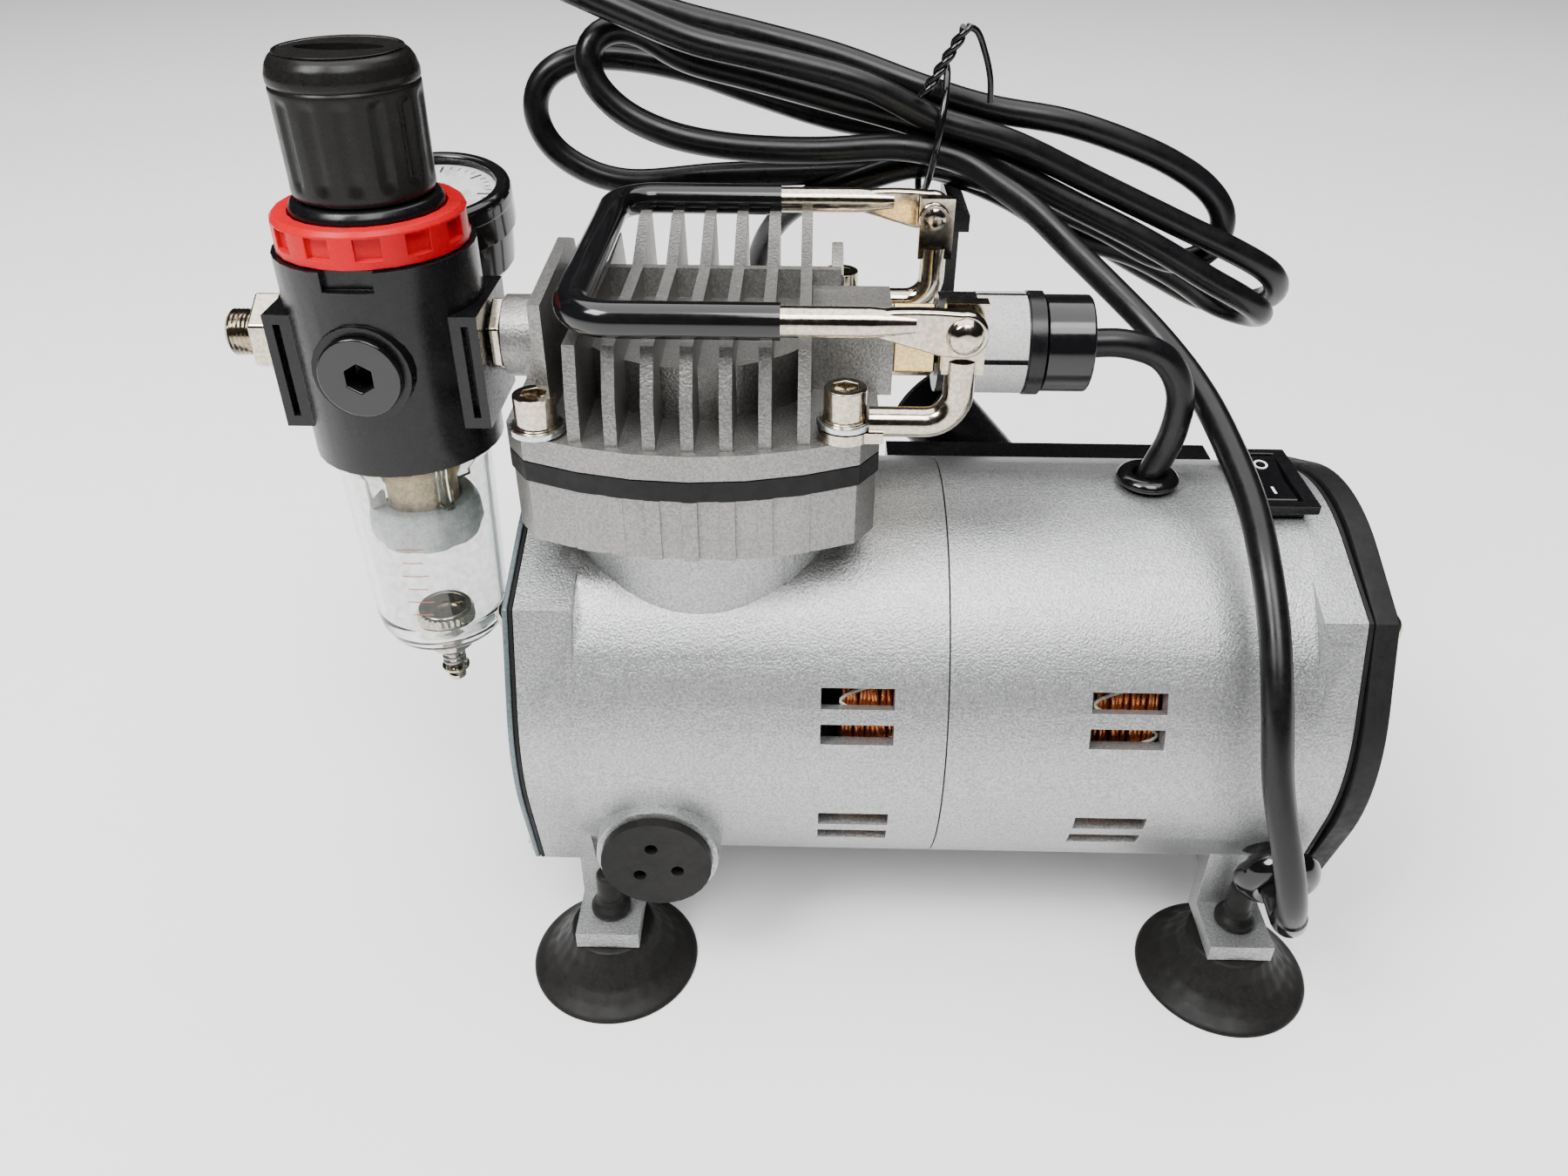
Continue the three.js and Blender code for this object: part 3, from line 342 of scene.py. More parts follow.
def smooth(points, step=1.5, passes=0):
    """Closely spaced points on a centripetal Catmull-Rom curve, evened out by averaging."""
    p = [Vector(q) for q in points]
    p = [2 * p[0] - p[1]] + p + [2 * p[-1] - p[-2]]
    dense = []
    for a, b, c, d in zip(p, p[1:], p[2:], p[3:]):
        t1 = (b - a).length ** 0.5
        t2 = t1 + (c - b).length ** 0.5
        t3 = t2 + (d - c).length ** 0.5
        count = max(2, round((c - b).length / step))
        for k in range(count):
            t = t1 + (t2 - t1) * k / count
            ab = a * ((t1 - t) / t1) + b * (t / t1)
            bc = b * ((t2 - t) / (t2 - t1)) + c * ((t - t1) / (t2 - t1))
            cd = c * ((t3 - t) / (t3 - t2)) + d * ((t - t2) / (t3 - t2))
            abc = ab * ((t2 - t) / t2) + bc * (t / t2)
            bcd = bc * ((t3 - t) / (t3 - t1)) + cd * ((t - t1) / (t3 - t1))
            dense.append(abc * ((t2 - t) / (t2 - t1)) + bcd * ((t - t1) / (t2 - t1)))
    dense.append(p[-2])
    for _ in range(passes):
        dense = [dense[0]] + [
            (a + b * 2 + c) / 4 for a, b, c in zip(dense, dense[1:], dense[2:])
        ] + [dense[-1]]
    return dense


def corners(points, radius, steps=10):
    """A path whose inner corners are arcs of one radius."""
    p = [Vector(q) for q in points]
    path = [p[0]]
    for a, b, c in zip(p, p[1:], p[2:]):
        u, v = (a - b).normalized(), (c - b).normalized()
        half = u.angle(v) / 2
        if half > 1.5:
            path.append(b)
            continue
        centre = b + (u + v).normalized() * (radius / math.sin(half))
        start = b + u * (radius / math.tan(half)) - centre
        axis = start.cross(b + v * (radius / math.tan(half)) - centre).normalized()
        for k in range(steps + 1):
            turn = Matrix.Rotation((math.pi - 2 * half) * k / steps, 3, axis)
            path.append(centre + turn @ start)
    path.append(p[-1])
    return path


def strand(name, lines, radius, material, body="base", nodes=(), cyclic=False, sides=6):
    """A round wire, rod or cord as a curve, through one line of points or several."""
    data = bpy.data.curves.new(name, "CURVE")
    data.dimensions = "3D"
    data.bevel_depth = radius / 1000
    data.bevel_resolution = sides
    data.use_fill_caps = True
    for line in lines:
        spline = data.splines.new("POLY")
        spline.points.add(len(line) - 1)
        for point, q in zip(spline.points, line):
            point.co = (*(TO_FRAME @ Vector(q)), 1)
        spline.use_cyclic_u = cyclic
        spline.use_smooth = True
    piece = bpy.data.objects.new(name, data)
    bpy.context.scene.collection.objects.link(piece)
    return place(piece, material, body, nodes)


def hose(path, radii, sides=32):
    """A closed tube along a path whose radius changes from point to point."""
    bm = bmesh.new()
    rings = []
    side = Vector((0, 0, 1)) if abs((path[1] - path[0]).normalized().x) > 0.7 else Vector((1, 0, 0))
    for i, p in enumerate(path):
        ahead = (path[min(i + 1, len(path) - 1)] - path[max(i - 1, 0)]).normalized()
        side = (side - ahead * side.dot(ahead)).normalized()
        up = ahead.cross(side)
        ring = []
        for k in range(sides):
            a = 2 * math.pi * k / sides
            ring.append(bm.verts.new(p + (side * math.cos(a) + up * math.sin(a)) * radii[i]))
        rings.append(ring)
    for low, high in zip(rings, rings[1:]):
        for k in range(sides):
            n = (k + 1) % sides
            bm.faces.new((low[k], low[n], high[n], high[k]))
    bm.faces.new(rings[0][::-1])
    bm.faces.new(rings[-1])
    bm.transform(TO_FRAME)
    return bm


# ---------------------------------------------------------------- mains lead
LEAN = math.radians(16)
EXIT = Vector((129.5, -46, -24.6))
OUT = Vector((0, -math.cos(LEAN), -math.sin(LEAN)))
CORD_R = 3.1
BOOT = 21  # length of the tapered boot at the exit
BLADES_FROM = 113.8  # x where the blades and the pin start, 0.2 off the face of the plug
PLUG_Y = 103
BLADE_Z = (-61.1, -54.5)
PIN_Z = -49.4
TIE_TURNS = 2.5

LEAD = [
    EXIT + OUT * 1, EXIT + OUT * 8,
    (128.4, -60, -26), (126, -64.5, -19), (123.5, -65.5, -10), (120, -63.5, 2), (116.8, -60, 13.9),
    (115.1, -54, 29), (114.8, -44, 40.8), (114.1, -34, 49.5), (113.6, -22, 56.1), (111.5, -10, 61.8),
    (109.5, 3, 66), (106.1, 15, 69.9), (100.2, 25, 75), (92, 33, 81.3), (83.2, 40, 88),
    (74.1, 46, 95.2), (65, 51, 100.2), (58, 53.5, 104),
]
HANK = [
    # first fold at the left, in front
    (50, 54, 106), (42, 54, 107), (23, 54, 106), (1, 54, 107), (-13, 54, 110), (-23, 54.5, 115),
    (-29, 55.5, 122), (-29.5, 57, 127), (-25, 59, 131), (-18, 60, 130.5),
    (-8, 60, 125), (8, 60, 121), (28, 60, 116), (50, 60.4, 110),
    # lowest fold at the right
    (60, 58.5, 106), (70, 56.5, 101), (85, 54.8, 94), (100, 53, 87.5), (112, 52, 81.5), (121, 51.5, 76.5),
    (129, 51.5, 72.5), (135.5, 54, 68), (138, 60, 64.5), (135, 67, 62.5), (128, 70, 64.5), (120, 68.5, 70),
    (106, 67, 77.5), (87, 66.5, 83.5), (72, 66, 92), (61, 66.5, 96.5),
    # second fold at the left, behind the first
    (50, 67, 99.5), (36, 66.5, 98.5), (23, 66.5, 97.7), (0, 66.5, 96.7), (-24, 66.5, 94.9),
    (-34, 66.5, 97.7), (-42, 66.5, 103.7), (-45, 67, 111), (-43, 68, 118), (-36, 69, 122.5),
    (-27, 70, 123.3), (-9, 71, 120.7), (7, 71, 115.7), (28, 71, 109.5), (50, 70, 106),
    # farthest fold at the right
    (61, 73, 100), (72, 74, 92.5), (93, 76, 81), (117, 79, 67.5), (129, 80, 61.5), (137, 77.5, 61),
    (141.5, 71, 64.5), (142, 63, 70), (137.5, 57, 76.5), (129, 55.5, 81.5), (113, 56, 88.5), (90, 56.5, 98.5),
    (69, 54.7, 108), (59, 54, 111), (50, 54, 113.5),
    # highest fold at the left
    (34, 52.8, 121), (14, 52.5, 126), (-5, 52.5, 130), (-18, 52, 135), (-29, 51.8, 139.5),
    (-38, 52.8, 143), (-44, 58, 144.5), (-44, 65, 144.5), (-38, 71, 142), (-28, 72.5, 137.8),
    (-10, 70.5, 132.5), (8, 67, 129), (28, 65, 124.5), (48, 61.5, 118.5),
    # highest fold at the right
    (64, 62, 114), (83, 62, 111), (102, 62, 105), (111, 62, 101), (119, 62, 96),
    (124.5, 61.8, 89), (123.5, 61.3, 82), (117, 60.6, 78), (108, 60.2, 80),
    (95, 60.4, 86.5), (72, 61, 95.5), (60, 60.6, 99.3),
    (50, 60.4, 101.5),
]
TAIL = [
    (40, 60.4, 99.5), (31, 61.5, 96), (23, 65, 92.5), (16, 70.5, 86.5), (11, 76.5, 78.5),
    (8, 81.5, 69), (7, 84.5, 57), (7.2, 86, 20), (9, 88, -12), (13, 91, -36), (23, 95, -51.5),
    (39, 99, -59.5), (54, 101.5, -60.2), (66, 102.6, -57.5), (81.4, 103, -54.6),
]


def mains():
    route = smooth(LEAD + HANK + TAIL, 1.5, 6)
    lead = strand("mains_lead", [route], CORD_R, CORD, "base", ["mains_cord", "cord_hank", "cord_tail"])

    start = smooth(LEAD[:5], 0.4)
    while sum((b - a).length for a, b in zip(start, start[1:])) > BOOT:
        start.pop()
    gone = 0.0
    radii = []
    for i, p in enumerate(start):
        gone += (p - start[i - 1]).length if i else 0
        radii.append(4.6 - 1.3 * gone / BOOT)
    boot = add("lead_boot", hose(start, radii), GLOSS, "base", ["strain_relief"])
    ring = [(3.4, -2), (6.2, -2), (6.2, 0.6), (9.3, 0.6), (9.5, 2.4), (8.6, 4.8), (6.4, 6.3), (4.4, 5.6),
            (3.4, 4)]
    gland = add("lead_gland", revolve(soften(ring, 1.2, 4, True), along(EXIT, OUT), 64, True), GLOSS)

    plug = refined("plug", SATIN, 0.9, 3)
    blades = []
    for side in (-6.35, 6.35):
        blades.append(add(f"plug_blade_{len(blades) + 1}",
                          block((BLADES_FROM, 131.2), (PLUG_Y + side - 0.9, PLUG_Y + side + 0.9), BLADE_Z),
                          BRASS, bevel=0.4))
    pin = soften([(0, 0), (2.5, 0), (2.5, 18), (1.6, 19.8), (0, 19.8)], 0.6)
    blades.append(add("plug_earth_pin", revolve(pin, along((BLADES_FROM, PLUG_Y, PIN_Z), (1, 0, 0)), 32),
                      BRASS))

    loop = []
    for k in range(48):
        a = 2 * math.pi * k / 48
        loop.append((51 + 2.2 * math.sin(a), 62.3 + 14.2 * math.cos(a), 108.8 + 14.6 * math.sin(a)))
    tie = strand("tie_loop", [loop], 0.85, GLOSS, cyclic=True)
    twist = []
    for side in (0, math.pi):
        line = []
        for k in range(25):
            t = k / 24
            a = side + t * (2 * TIE_TURNS) * math.pi
            line.append((47.5 + 8.5 * t + 0.75 * math.cos(a), 51.2 + 0.75 * math.sin(a), 119 + 14.5 * t))
        twist.append(line)
    loose = [(56, 51.2, 133.5), (58.2, 51.5, 132.6), (60.6, 52, 128), (62.3, 52, 122.5), (62.8, 52, 117.5)]
    ends = smooth(loose, 0.8)
    knot = strand("tie_twist", twist + [ends], 0.72, GLOSS)


mains()


# ---------------------------------------------------------------- body and cylinder
HEAD_SCREW = 7.8  # from a head screw's top down to the face under its spring washer
SCREW_CIRCLE = 47.2
COVER_SCREWS = (45, 135, 219, 321)  # degrees round the shaft
COVERS = (("left", -40.3, -1), ("right", 143.9, 1))  # x of each cover's outer face, and which way it faces
FEET_AT = ((-23, -42.9), (-23, 42.9), (125.8, -42.9), (125.8, 42.9))


def body():
    for node in ("crankcase", "motor_housing"):
        refined(node, PAINT, 0.7, 3)
    refined("cylinder", ALLOY, 0.45)
    refined("valve_plate", MATTE, 0.3)
    refined("cylinder_head", ALLOY, 0.7, 3)
    refined("front_gasket", MATTE, 0.15)
    refined("end_gasket", MATTE, 0.2)
    refined("front_cover", COVER, 0.3)
    refined("end_cover", MATTE, 0.5)
    refined("intake_cap", RUBBER, 0.45, 3)
    for k in (1, 2, 3, 4):
        refined(f"head_bolt_{k}", NICKEL, 0.3, 3)
        low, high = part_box(f"head_bolt_{k}")
        centre = (low + high) / 2 * 1000 + ORIGIN
        seat = high.z * 1000 + ORIGIN.z - HEAD_SCREW
        washer = [(2.9, seat + 0.2), (5.4, seat + 0.2), (5.4, seat + 1.5), (2.9, seat + 1.5)]
        upright = Matrix.Translation((centre.x, centre.y, 0))
        add(f"spring_washer_{k}", revolve(soften(washer, 0.3, 2, True), upright, 48, True), ZINC)

    # Pan-head screws at the covers' corners, each with a cross recess drawn as a black cross on its dome:
    # painted shade in place of a cut.
    dome = [(0, 1.7), (1.5, 1.6), (2.7, 1.1), (3.3, 0.3), (3.3, -0.4), (0, -0.4)]
    for end, x, way in COVERS:
        for k, turn in enumerate(COVER_SCREWS, 1):
            angle = math.radians(turn)
            place_at = (x, SCREW_CIRCLE * math.cos(angle), SCREW_CIRCLE * math.sin(angle))
            where = along(place_at, (way, 0, 0))
            add(f"cover_screw_{end}_{k}", revolve(soften(dome, 0.3), where, 40), NICKEL)
            for part, (a, b) in enumerate(((1.5, 0.35), (0.35, 1.5)), 1):
                # Two thin black blocks poking through the top of the solid dome make the cross: painted shade
                # of the recess.
                recess_shade_block = block((-a, a), (-b, b), (1.2, 1.72), where)
                add(f"screw_recess_{end}_{k}_{part}", recess_shade_block, MATTE, bevel=0.1)
COIL_ENDS = (("left", 30.8, 43.4), ("right", 84.6, 97.4))  # where the wires lie in x, at each end of the coil
COIL_R = 41.7
LACING_R = 42.6
WIRES = 15


def windings():
    """Enamelled wire round both coil ends, laced with tape, seen through the vent slots."""
    shake = random.Random(4)
    for side, x0, x1 in COIL_ENDS:
        lines = []
        for k in range(WIRES):
            x = x0 + (x1 - x0) * k / (WIRES - 1)
            lean, phase = shake.uniform(0.1, 0.7), shake.uniform(0, 6)
            line = []
            for i in range(72):
                a = 2 * math.pi * i / 72
                r = COIL_R + 0.6 * math.sin(3 * a + phase) * lean
                line.append((x + lean * math.sin(5 * a + phase), r * math.cos(a), r * math.sin(a)))
            lines.append(line)
        strand(f"coil_wires_{side}", lines, 0.55, COPPER, cyclic=True, sides=3)
        lacing = []
        for i in range(361):
            a = 2 * math.pi * i / 360
            swing = math.sin(20 * a)
            lacing.append(((x0 + x1) / 2 + 6.9 * swing, LACING_R * math.cos(a), LACING_R * math.sin(a)))
        strand(f"coil_lacing_{side}", [lacing], 0.4, TAPE, sides=3)


def feet():
    profile = [
        (0, 5.4), (12, 3), (18.4, 0.3), (19, 0), (20, 0), (20.1, 0.5), (19.6, 1.2), (17.2, 2.6), (14.6, 4.8),
        (11.6, 8.8), (9.9, 12.4), (8.9, 12.7), (3.2, 12.7), (3.2, 17.7), (4.6, 17.7), (4.7, 19.4), (3.9, 20.2),
        (3.1, 21), (2.9, 22.2), (3.15, 22.8), (2.9, 23.4), (2.8, 29.4), (2.2, 30), (0, 30),
    ]

    def ridges(r, h, a):
        return r + (0.12 * math.cos(24 * a) if 3 < h < 12 and r > 10 else 0)

    for k, (x, y) in enumerate(FEET_AT, 1):
        bm = revolve(soften(profile, 0.7), Matrix.Translation((x, y, ORIGIN.z)), 96, shape=ridges)
        add(f"suction_foot_{k}", bm, RUBBER, "base", [f"foot_{k}"], sharp=50)


ROCKER_TILT = 10  # degrees
MARK_OFF = (124.9, 5.2, 50.45)
SWITCH_Z = 81.2  # height of the pressure switch's axis
LABEL_R = 10.42
LABEL_X = (56.4, 66.6)
CABLE_GLAND_X = 98.4


def switches():
    refined("switch_housing", SATIN, 0.4)
    refined("switch_rocker", GLOSS, 0.5, 3)
    ring = soften([(1.1, 0), (1.6, 0), (1.6, 0.12), (1.1, 0.12)], 0.05, 1, True)
    tilt = Matrix.Rotation(math.radians(ROCKER_TILT), 4, "X")
    add("mark_off", revolve(ring, Matrix.Translation(MARK_OFF) @ tilt, 32, True), PAPER, "rocker")
    add("mark_on", block((124.6, 125.2), (-6.6, -3.6), (49.62, 49.74)), PAPER, "rocker",
        bevel=0.05)

    refined("pressure_switch_fitting", BRASS, 0.4)
    refined("pressure_switch", SATIN, 0.4)
    refined("pressure_switch_cap", GLOSS, 0.6, 3)
    bm = bmesh.new()
    rows = []
    for x in LABEL_X:
        row = []
        for k in range(41):
            a = math.radians(-75 + 6 * k)
            row.append(bm.verts.new((x, -LABEL_R * math.cos(a), SWITCH_Z + LABEL_R * math.sin(a))))
        rows.append(row)
    for k in range(40):
        bm.faces.new((rows[0][k], rows[0][k + 1], rows[1][k + 1], rows[1][k]))
    bmesh.ops.solidify(bm, geom=bm.faces[:], thickness=0.08)
    bm.transform(TO_FRAME)
    add("blank_label", bm, PAPER)

    cable = smooth([(76.4, 0, SWITCH_Z), (80.4, 0, SWITCH_Z), (88, 0, 81.3), (96.7, 0, 78.3),
                    (101.8, 0, 70.5), (101.9, 0, 60.1), (99.4, 0, 52), (96.6, 0, 43)], 1, 3)
    strand("switch_cable", [cable], 3, CORD, "base", ["pressure_switch_cable"])
    rim = [(3.4, 44), (4.2, 44), (4.2, 48.3), (5.8, 48.3), (6.9, 49.2), (6.9, 50.3), (5.6, 51.4), (3.4, 51)]
    upright = Matrix.Translation((CABLE_GLAND_X, 0, 0))
    add("cable_gland", revolve(soften(rim, 0.8, 4, True), upright, 48, True), GLOSS, "base",
        ["cable_grommet"])


# ---------------------------------------------------------------- handle
PIVOT = (49.7, 97.8)  # x and z of the rivets that the handle swings on
HANDLE_Y = 36.3
HANDLE_Z = 99.7
HANDLE_END = -21.3
HANDLE_CORNER = 9
BRACKET_Y = 31.4


def handle():
    for name, side in (("front", -1), ("back", 1)):
        y = side * BRACKET_Y
        refined(f"handle_bracket_{name}", NICKEL, 0.35)
        rod = corners([(33.8, y, 78.1), (50.2, y, 78.1), (50.2, y, 91)], 6)
        strand(f"bracket_rod_{name}", [rod], 2.9, NICKEL, sides=8)
        where = along((PIVOT[0], y - side * 1.4, PIVOT[1]), (0, -side, 0))
        head = [(0, 2.3), (1.6, 2.1), (2.8, 1.4), (3.4, 0.2), (3.4, -0.2), (0, -0.2)]
        add(f"rivet_inside_{name}", revolve(soften(head, 0.4), where, 40), NICKEL)
        outer = along((PIVOT[0], y + side * 6.4, PIVOT[1]), (0, side, 0))
        add(f"rivet_outside_{name}", revolve(soften(head, 0.4), outer, 40), NICKEL)

    y, z, end = HANDLE_Y, HANDLE_Z, HANDLE_END
    route = [(41, -y, z), (33, -y, z), (end, -y, z), (end, y, z), (33, y, z), (41, y, z)]
    rod = corners(route, HANDLE_CORNER, 12)
    thick = [2 if i in (0, len(rod) - 1) else 2.78 for i in range(len(rod))]
    add("bail_rod", hose(rod, thick), NICKEL, "handle", ["handle_bail"], sharp=50)
    lug = [(33.5, 97.3), (37, 96.4), (41, 95.2), (45.5, 93.9)]
    lug += [(PIVOT[0] + 4.3 * math.cos(math.radians(a)), PIVOT[1] + 4.3 * math.sin(math.radians(a)))
            for a in range(-100, 101, 10)]
    lug += [(45, 102.3), (41, 102.4), (37, 102.3), (33.5, 101.9)]
    for name, side in (("front", -1), ("back", 1)):
        facing = Matrix(((1, 0, 0, 0), (0, 0, -1, side * y), (0, 1, 0, 0), (0, 0, 0, 1)))
        add(f"bail_lug_{name}", prism(lug, -1.5, 1.5, facing), NICKEL, "handle", bevel=0.8,
            steps=3)
    cover = corners([(17.2, -y, z), (end, -y, z), (end, y, z), (15.7, y, z)], HANDLE_CORNER, 12)
    strand("bail_sleeve", [cover], 3.35, GLOSS, "handle", ["handle_sleeve"], sides=10)


# ---------------------------------------------------------------- regulator, filter and gauge
REG_X = -65.3
PORT_Z = 81.5
PITCH_OF_PIPE = 0.907  # a 1/8 inch BSP pipe has 28 threads to the inch
OUTLET_HEXAGON = 15  # across flats
INLET_HEXAGON = 14
FLUTES = 14


def thread(start, length, r, pitch, depth):
    """A straight profile with a sharp groove at each pitch."""
    points = []
    turns = int(length / pitch)
    for k in range(turns):
        points += [(r, start + k * pitch), (r - depth, start + (k + 0.5) * pitch)]
    points.append((r, start + turns * pitch))
    return points


def carve(piece, bm):
    """Cut a bmesh's shape out of a piece."""
    bmesh.ops.recalc_face_normals(bm, faces=bm.faces)
    mesh = bpy.data.meshes.new("pocket")
    bm.to_mesh(mesh)
    bm.free()
    tool = bpy.data.objects.new("pocket", mesh)
    bpy.context.scene.collection.objects.link(tool)
    cut = piece.modifiers.new("pocket", "BOOLEAN")
    cut.operation = "DIFFERENCE"
    cut.object = tool
    piece.modifiers.move(1, 0)
    bpy.context.view_layer.update()
    carved = bpy.data.meshes.new_from_object(piece.evaluated_get(bpy.context.evaluated_depsgraph_get()))
    piece.modifiers.clear()
    piece.data = carved
    bpy.data.objects.remove(tool)


def regulator():
    x = REG_X
    refined("regulator_body", SATIN, 0.5)
    refined("lock_ring", RED, 0.5, 3)
    refined("port_plug", GLOSS, 0.4)
    upright = Matrix.Translation((x, 0, 0))

    collar = [(11, 101.7), (15.1, 101.7), (15.1, 109.6), (14.2, 111), (12.3, 111.1), (12.3, 123.5), (11, 124)]
    add("bonnet_collar", revolve(soften(collar, 0.5), upright, 72), SATIN, "base", ["regulator_bonnet"])

    def flutes(r, h, a):
        fade = min(1, max(0, (h - 113.5) / 2)) * min(1, max(0, (130.3 - h) / 1.2))
        return r - 0.5 * fade * max(0, math.cos(FLUTES * a)) ** 0.8 if r > 12 else r

    grip = [(12.6, 111.6), (13.3, 111.4)]
    grip += [(13.75 + 0.25 * k / 16, 112.4 + 19 * k / 16) for k in range(17)]
    grip += [(13.6, 131.7), (14.05, 132.2), (14.05, 133.6), (13.5, 135.4), (12.7, 136.6), (11.6, 137.3),
             (9, 137.45), (0, 137.45)]
    knob = add("knob_grip", revolve(soften(grip, 0.35, 2), upright, 144, shape=flutes), KNOB, "knob",
               ["regulator_knob"], sharp=40)
    lens = []
    for k in range(24):
        a = math.pi * k / 23
        lens.append((8.6 * math.cos(a), 3.4 * math.sin(a) ** 1.2 if 0 < k < 23 else 0))
    lens += [(-u, -v) for u, v in lens[1:-1]]
    carve(knob, prism(lens, 136.2, 140, upright))
    rim = [(11.4, 137.3), (11.9, 137.3), (11.9, 137.55), (11.4, 137.55)]
    add("knob_rim", revolve(soften(rim, 0.1, 1, True), upright, 96, True), KNOB, "knob")

    # Threaded air outlet with its hexagon, and the nipple into the head.
    left = along((x, 0, PORT_Z), (-1, 0, 0))
    pipe = [(2.4, 20), (4.5, 20)] + thread(20.4, 13, 4.85, PITCH_OF_PIPE, 0.45) + [(4.3, 33.7), (2.4, 33.7)]
    add("outlet_thread", revolve(pipe, left, 64, True), NICKEL, "base", ["outlet_fitting"],
        sharp=70)
    hexagon = []
    for k in range(6):
        a = math.radians(60 * k + 30)
        r = OUTLET_HEXAGON / math.sqrt(3)
        hexagon.append((r * math.cos(a), r * math.sin(a)))
    add("outlet_hexagon", prism(hexagon, 21.8, 27.3, left), NICKEL, bevel=0.6, steps=3)
    right = along((x, 0, PORT_Z), (1, 0, 0))
    pipe = [(1.7, 13), (4.5, 13)] + thread(13.4, 18.6, 4.7, PITCH_OF_PIPE, 0.4) + [(1.7, 32.4)]
    add("inlet_thread", revolve(pipe, right, 64, True), NICKEL, "base", ["inlet_nipple"], sharp=70)
    smaller = [(u * INLET_HEXAGON / OUTLET_HEXAGON, v * INLET_HEXAGON / OUTLET_HEXAGON) for u, v in hexagon]
    add("inlet_hexagon", prism(smaller, 21.9, 24.4, right), NICKEL, bevel=0.5, steps=3)


SPRING_R = 2.55
SPRING_LENGTH = 5.7


def filter_bowl():
    upright = Matrix.Translation((REG_X, 0, 0))
    wall = [
        (4.5, 5.2), (9.6, 5.4), (13.2, 7.6), (14.9, 11), (15.4, 14), (16.8, 57.6), (14.1, 57.7), (14.1, 65.4),
        (12.7, 65.4), (12.7, 57), (14.9, 54.6), (13.6, 14.4), (12.2, 10.4), (9, 7.6), (4.5, 7.4),
    ]
    add("bowl_clear", revolve(soften(wall, 0.8, 4, True), upright, 96, True), CLEAR, "base", ["filter_bowl"],
        sharp=60)
    for k in range(4):
        turn = upright @ Matrix.Rotation(math.radians(45 + 90 * k), 4, "Z")
        prong = block((8.6, 12.4), (-1.1, 1.1), (43.9, 56.4), turn)
        add(f"bowl_prong_{k + 1}", prong, CLEAR, bevel=0.5)
    disc = [
        (0, 31.6), (5, 31.6), (8.6, 32.4), (11.6, 34), (12.7, 36.5), (12.5, 41), (11.2, 43.4), (9.4, 43.6),
        (8.5, 43.2), (8.5, 39.3), (0, 39.3),
    ]

    def lobes(r, h, a):
        return r * (1 - 0.05 * max(0, math.cos(8 * a))) if r > 9 and h < 40 else r

    add("baffle_disc", revolve(soften(disc, 0.6), upright, 96, shape=lobes), WHITE, "base", ["filter_baffle"],
        sharp=50)
    cup = [(3.6, 39.6), (7.6, 39.6), (8, 40.2), (8, 57.2), (5.2, 57.6), (5.2, 73.6), (3.6, 73.8)]
    add("element_sintered", revolve(soften(cup, 0.4, 3, True), upright, 72, True), BRONZE, "base",
        ["filter_element"])

    def knurl(r, h, a):
        return r + 0.18 * math.cos(30 * a) if r > 6.3 and 8.4 < h < 11.4 else r

    seat = [
        (2.4, 0.8), (5.6, 0.8), (5.7, 4.1), (4.2, 4.9), (4.2, 7.6), (6.5, 7.7), (6.7, 8.4), (6.7, 11.4),
        (6.2, 12.3), (5, 12.3), (4.3, 9), (2.4, 9),
    ]
    add("drain_ring", revolve(soften(seat, 0.25, 2, True), upright, 120, True, knurl), NICKEL, "base",
        ["drain_seat"])
    seal = [(5.5, 4.4), (6.4, 4.4), (6.4, 5.2), (5.5, 5.2)]
    add("drain_seal", revolve(soften(seal, 0.3, 2, True), upright, 48, True), RUBBER)
    stem = [
        (0, -10.5), (1.6, -10.5), (2.2, -9.8), (2.2, -8.8), (1.6, -8.2), (1.6, -7.4), (3.4, -7), (3.4, -6.3),
        (1.6, -6.2), (1.6, 9.3), (3.3, 9.5), (3.3, 10.4), (0, 10.4),
    ]
    add("drain_stem", revolve(soften(stem, 0.2, 2), upright, 40), NICKEL, "drain", ["drain_valve"])

    # The spring's upper end is fixed; the real spring shortens towards it as the stem is pushed in, but here
    # it is drawn at one length, with a mesh of its own.
    coil = []
    for k in range(81):
        a = math.pi * k / 10
        height = SPRING_LENGTH * (k / 80 - 1)
        coil.append(Vector((REG_X + SPRING_R * math.cos(a), SPRING_R * math.sin(a), height)))
    spring = add("drain_coil", hose(coil, [0.36] * len(coil), 12), STEEL, "base", ["drain_spring"])
    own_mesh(spring)

    # Short level marks on the front of the bowl.
    for k in range(6):
        z = 19 + 3.6 * k
        r = 13.7 + 0.032 * (z - 14)
        reach = 3 + k % 2
        line = [(REG_X + r * math.sin(a / 20), -r * math.cos(a / 20), z) for a in range(-reach, reach + 1)]
        strand(f"level_mark_{k + 1}", [line], 0.14, TICKS, sides=2)


DIAL_AT = (REG_X, 39.2, 101.4)
DIAL_TILT = 9  # degrees
SCALE_R = 14
LONG_MARK = (11, 0.28)  # where a mark starts, and half its width
SHORT_MARK = (12.6, 0.13)


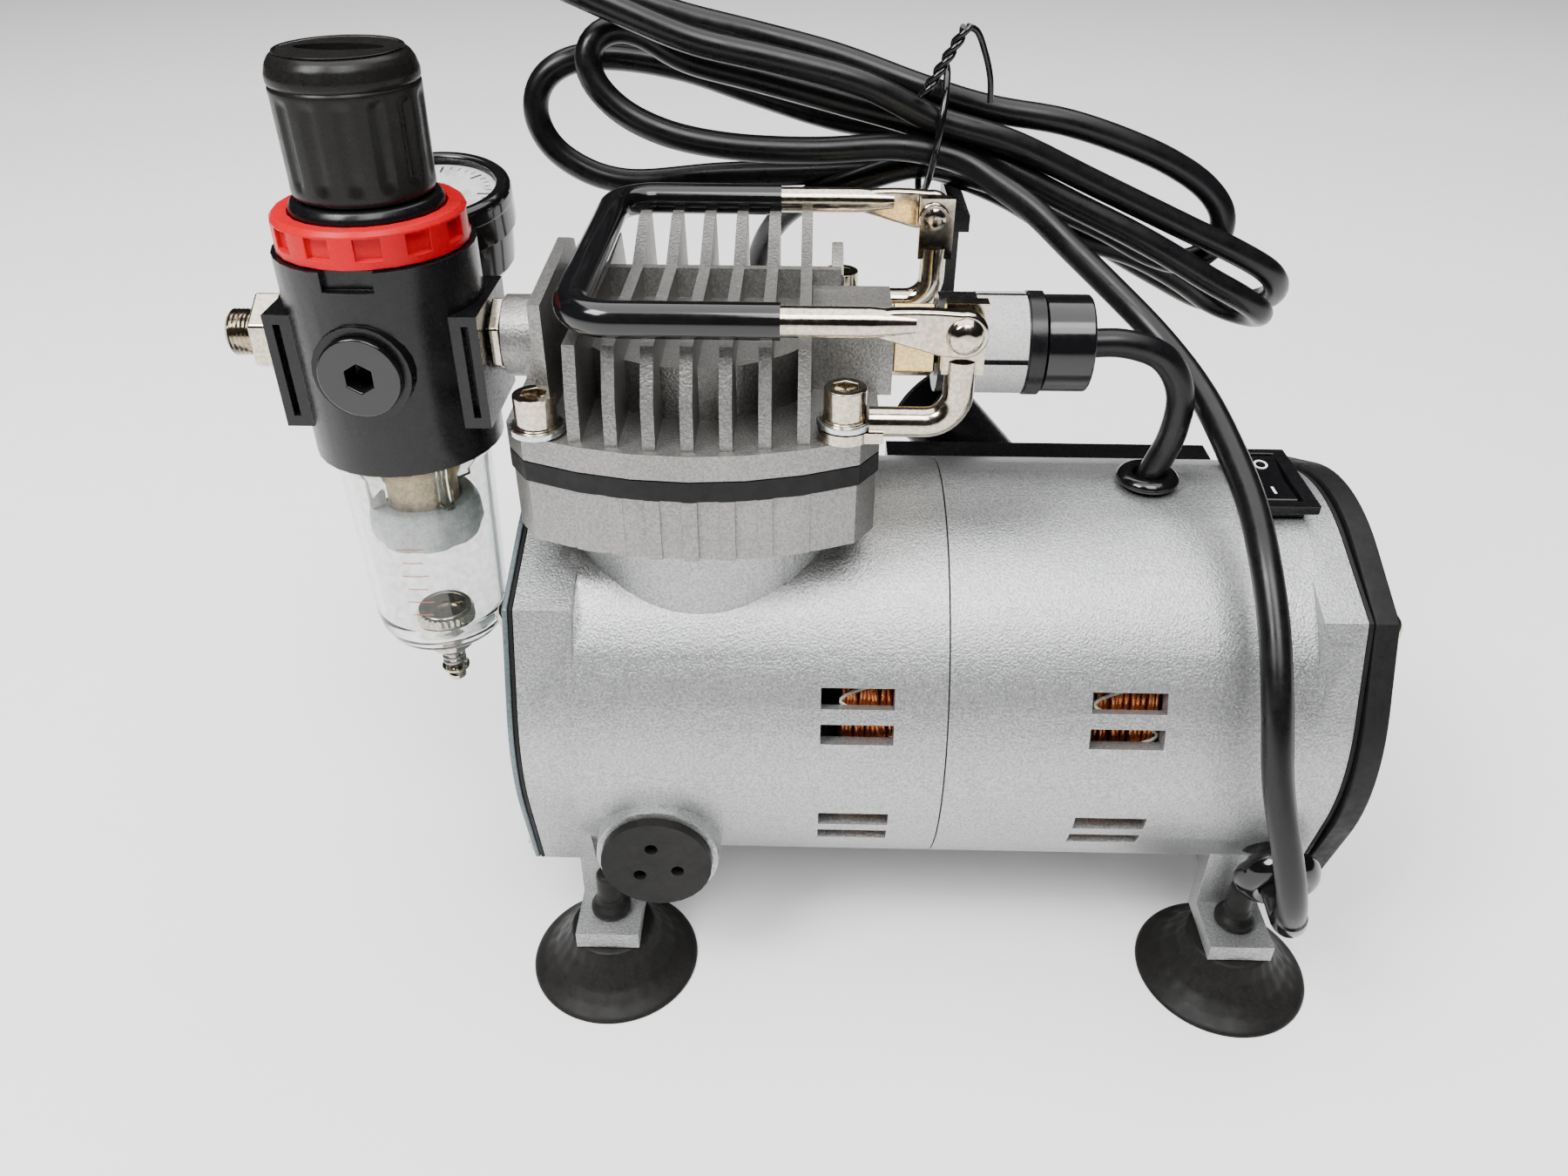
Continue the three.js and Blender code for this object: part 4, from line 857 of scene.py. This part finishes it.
def gauge():
    refined("gauge_case", GLOSS, 0.4, 3)
    face = Matrix.Translation(DIAL_AT) @ Matrix.Rotation(math.radians(DIAL_TILT), 4, "X")
    dial = [(0, -2.35), (15.3, -2.35), (15.3, -2.6), (0, -2.6)]
    add("gauge_dial", revolve(dial, face, 72), PAPER)
    window = [(0, -0.35), (15.6, -0.35), (15.7, -0.9), (0, -0.9)]
    add("gauge_window", revolve(window, face, 72), GLASS)
    rim = [(15.3, -0.3), (15.9, 0.25), (17.4, 0.3), (18.4, -0.5), (18.65, -1.6), (18.65, -4), (18.2, -4.4),
           (15.3, -1)]
    add("gauge_bezel", revolve(soften(rim, 0.4, 3, True), face, 96, True), GLOSS)
    marks = bmesh.new()
    for k in range(31):
        a = math.radians(225 - 9 * k)
        inner, half = SHORT_MARK if k % 5 else LONG_MARK
        turn = face @ Matrix.Rotation(a, 4, "Z")
        size = Matrix.Diagonal((SCALE_R - inner, 2 * half, 0.06, 1))
        centre = Matrix.Translation(((SCALE_R + inner) / 2, 0, -2.3))
        bmesh.ops.create_cube(marks, size=1, matrix=TO_FRAME @ turn @ centre @ size)
    add("gauge_scale", marks, INK)
    NODES["gauge_needle"].data.materials.clear()
    NODES["gauge_needle"].data.materials.append(INK)


# ---------------------------------------------------------------- everything
body()
windings()
feet()
switches()
handle()
regulator()
filter_bowl()
gauge()
refined("airbrush_holder", SATIN, 0.6, 3)

for node, piece in NODES.items():
    if node != "gauge_needle":
        piece.data.materials.clear()
        piece.data.materials.append(LOOK_OF_SLOT[SLOT_OF[node]])


# ---------------------------------------------------------------- studio
# Each lamp's name, place and size in metres, and power in watts.
LAMPS = (
    ("top", (0.0, 0.1, 1.7), 2.2, 62),
    ("key", (-0.55, -0.45, 0.95), 0.4, 14),
    ("front", (0.25, -0.95, 1.6), 0.8, 24),
)
LIT_AT = Vector((0, 0, 0.08))


def studio():
    bm = bmesh.new()
    bmesh.ops.create_grid(bm, x_segments=1, y_segments=1, size=4)
    mesh = bpy.data.meshes.new("floor")
    bm.to_mesh(mesh)
    bm.free()
    floor = bpy.data.objects.new("floor", mesh)
    bpy.context.scene.collection.objects.link(floor)
    mesh.materials.append(finish("floor", (0.9, 0.9, 0.895), 0.75, tone=0.01, broad=2, grain=400, bump=0.02,
                                   sparkle=0.02, Emission_Color=(1, 1, 0.99, 1), Emission_Strength=0.12))

    world = bpy.data.worlds.new("studio")
    world.use_nodes = True
    tree = world.node_tree
    height = tree.nodes.new("ShaderNodeSeparateXYZ")
    tree.links.new(tree.nodes.new("ShaderNodeTexCoord").outputs["Generated"], height.inputs[0])
    glow = spread_to(tree, height.outputs[2], 0.42, 0.62, 0.05, 0.75)
    tree.links.new(glow, tree.nodes["Background"].inputs[1])
    bpy.context.scene.world = world
    for name, where, size, power in LAMPS:
        data = bpy.data.lights.new(name, "AREA")
        data.size = size
        data.energy = power
        lamp = bpy.data.objects.new(name, data)
        lamp.location = where
        lamp.rotation_mode = "QUATERNION"
        lamp.rotation_quaternion = (LIT_AT - Vector(where)).to_track_quat("-Z", "Y")
        bpy.context.scene.collection.objects.link(lamp)


studio()
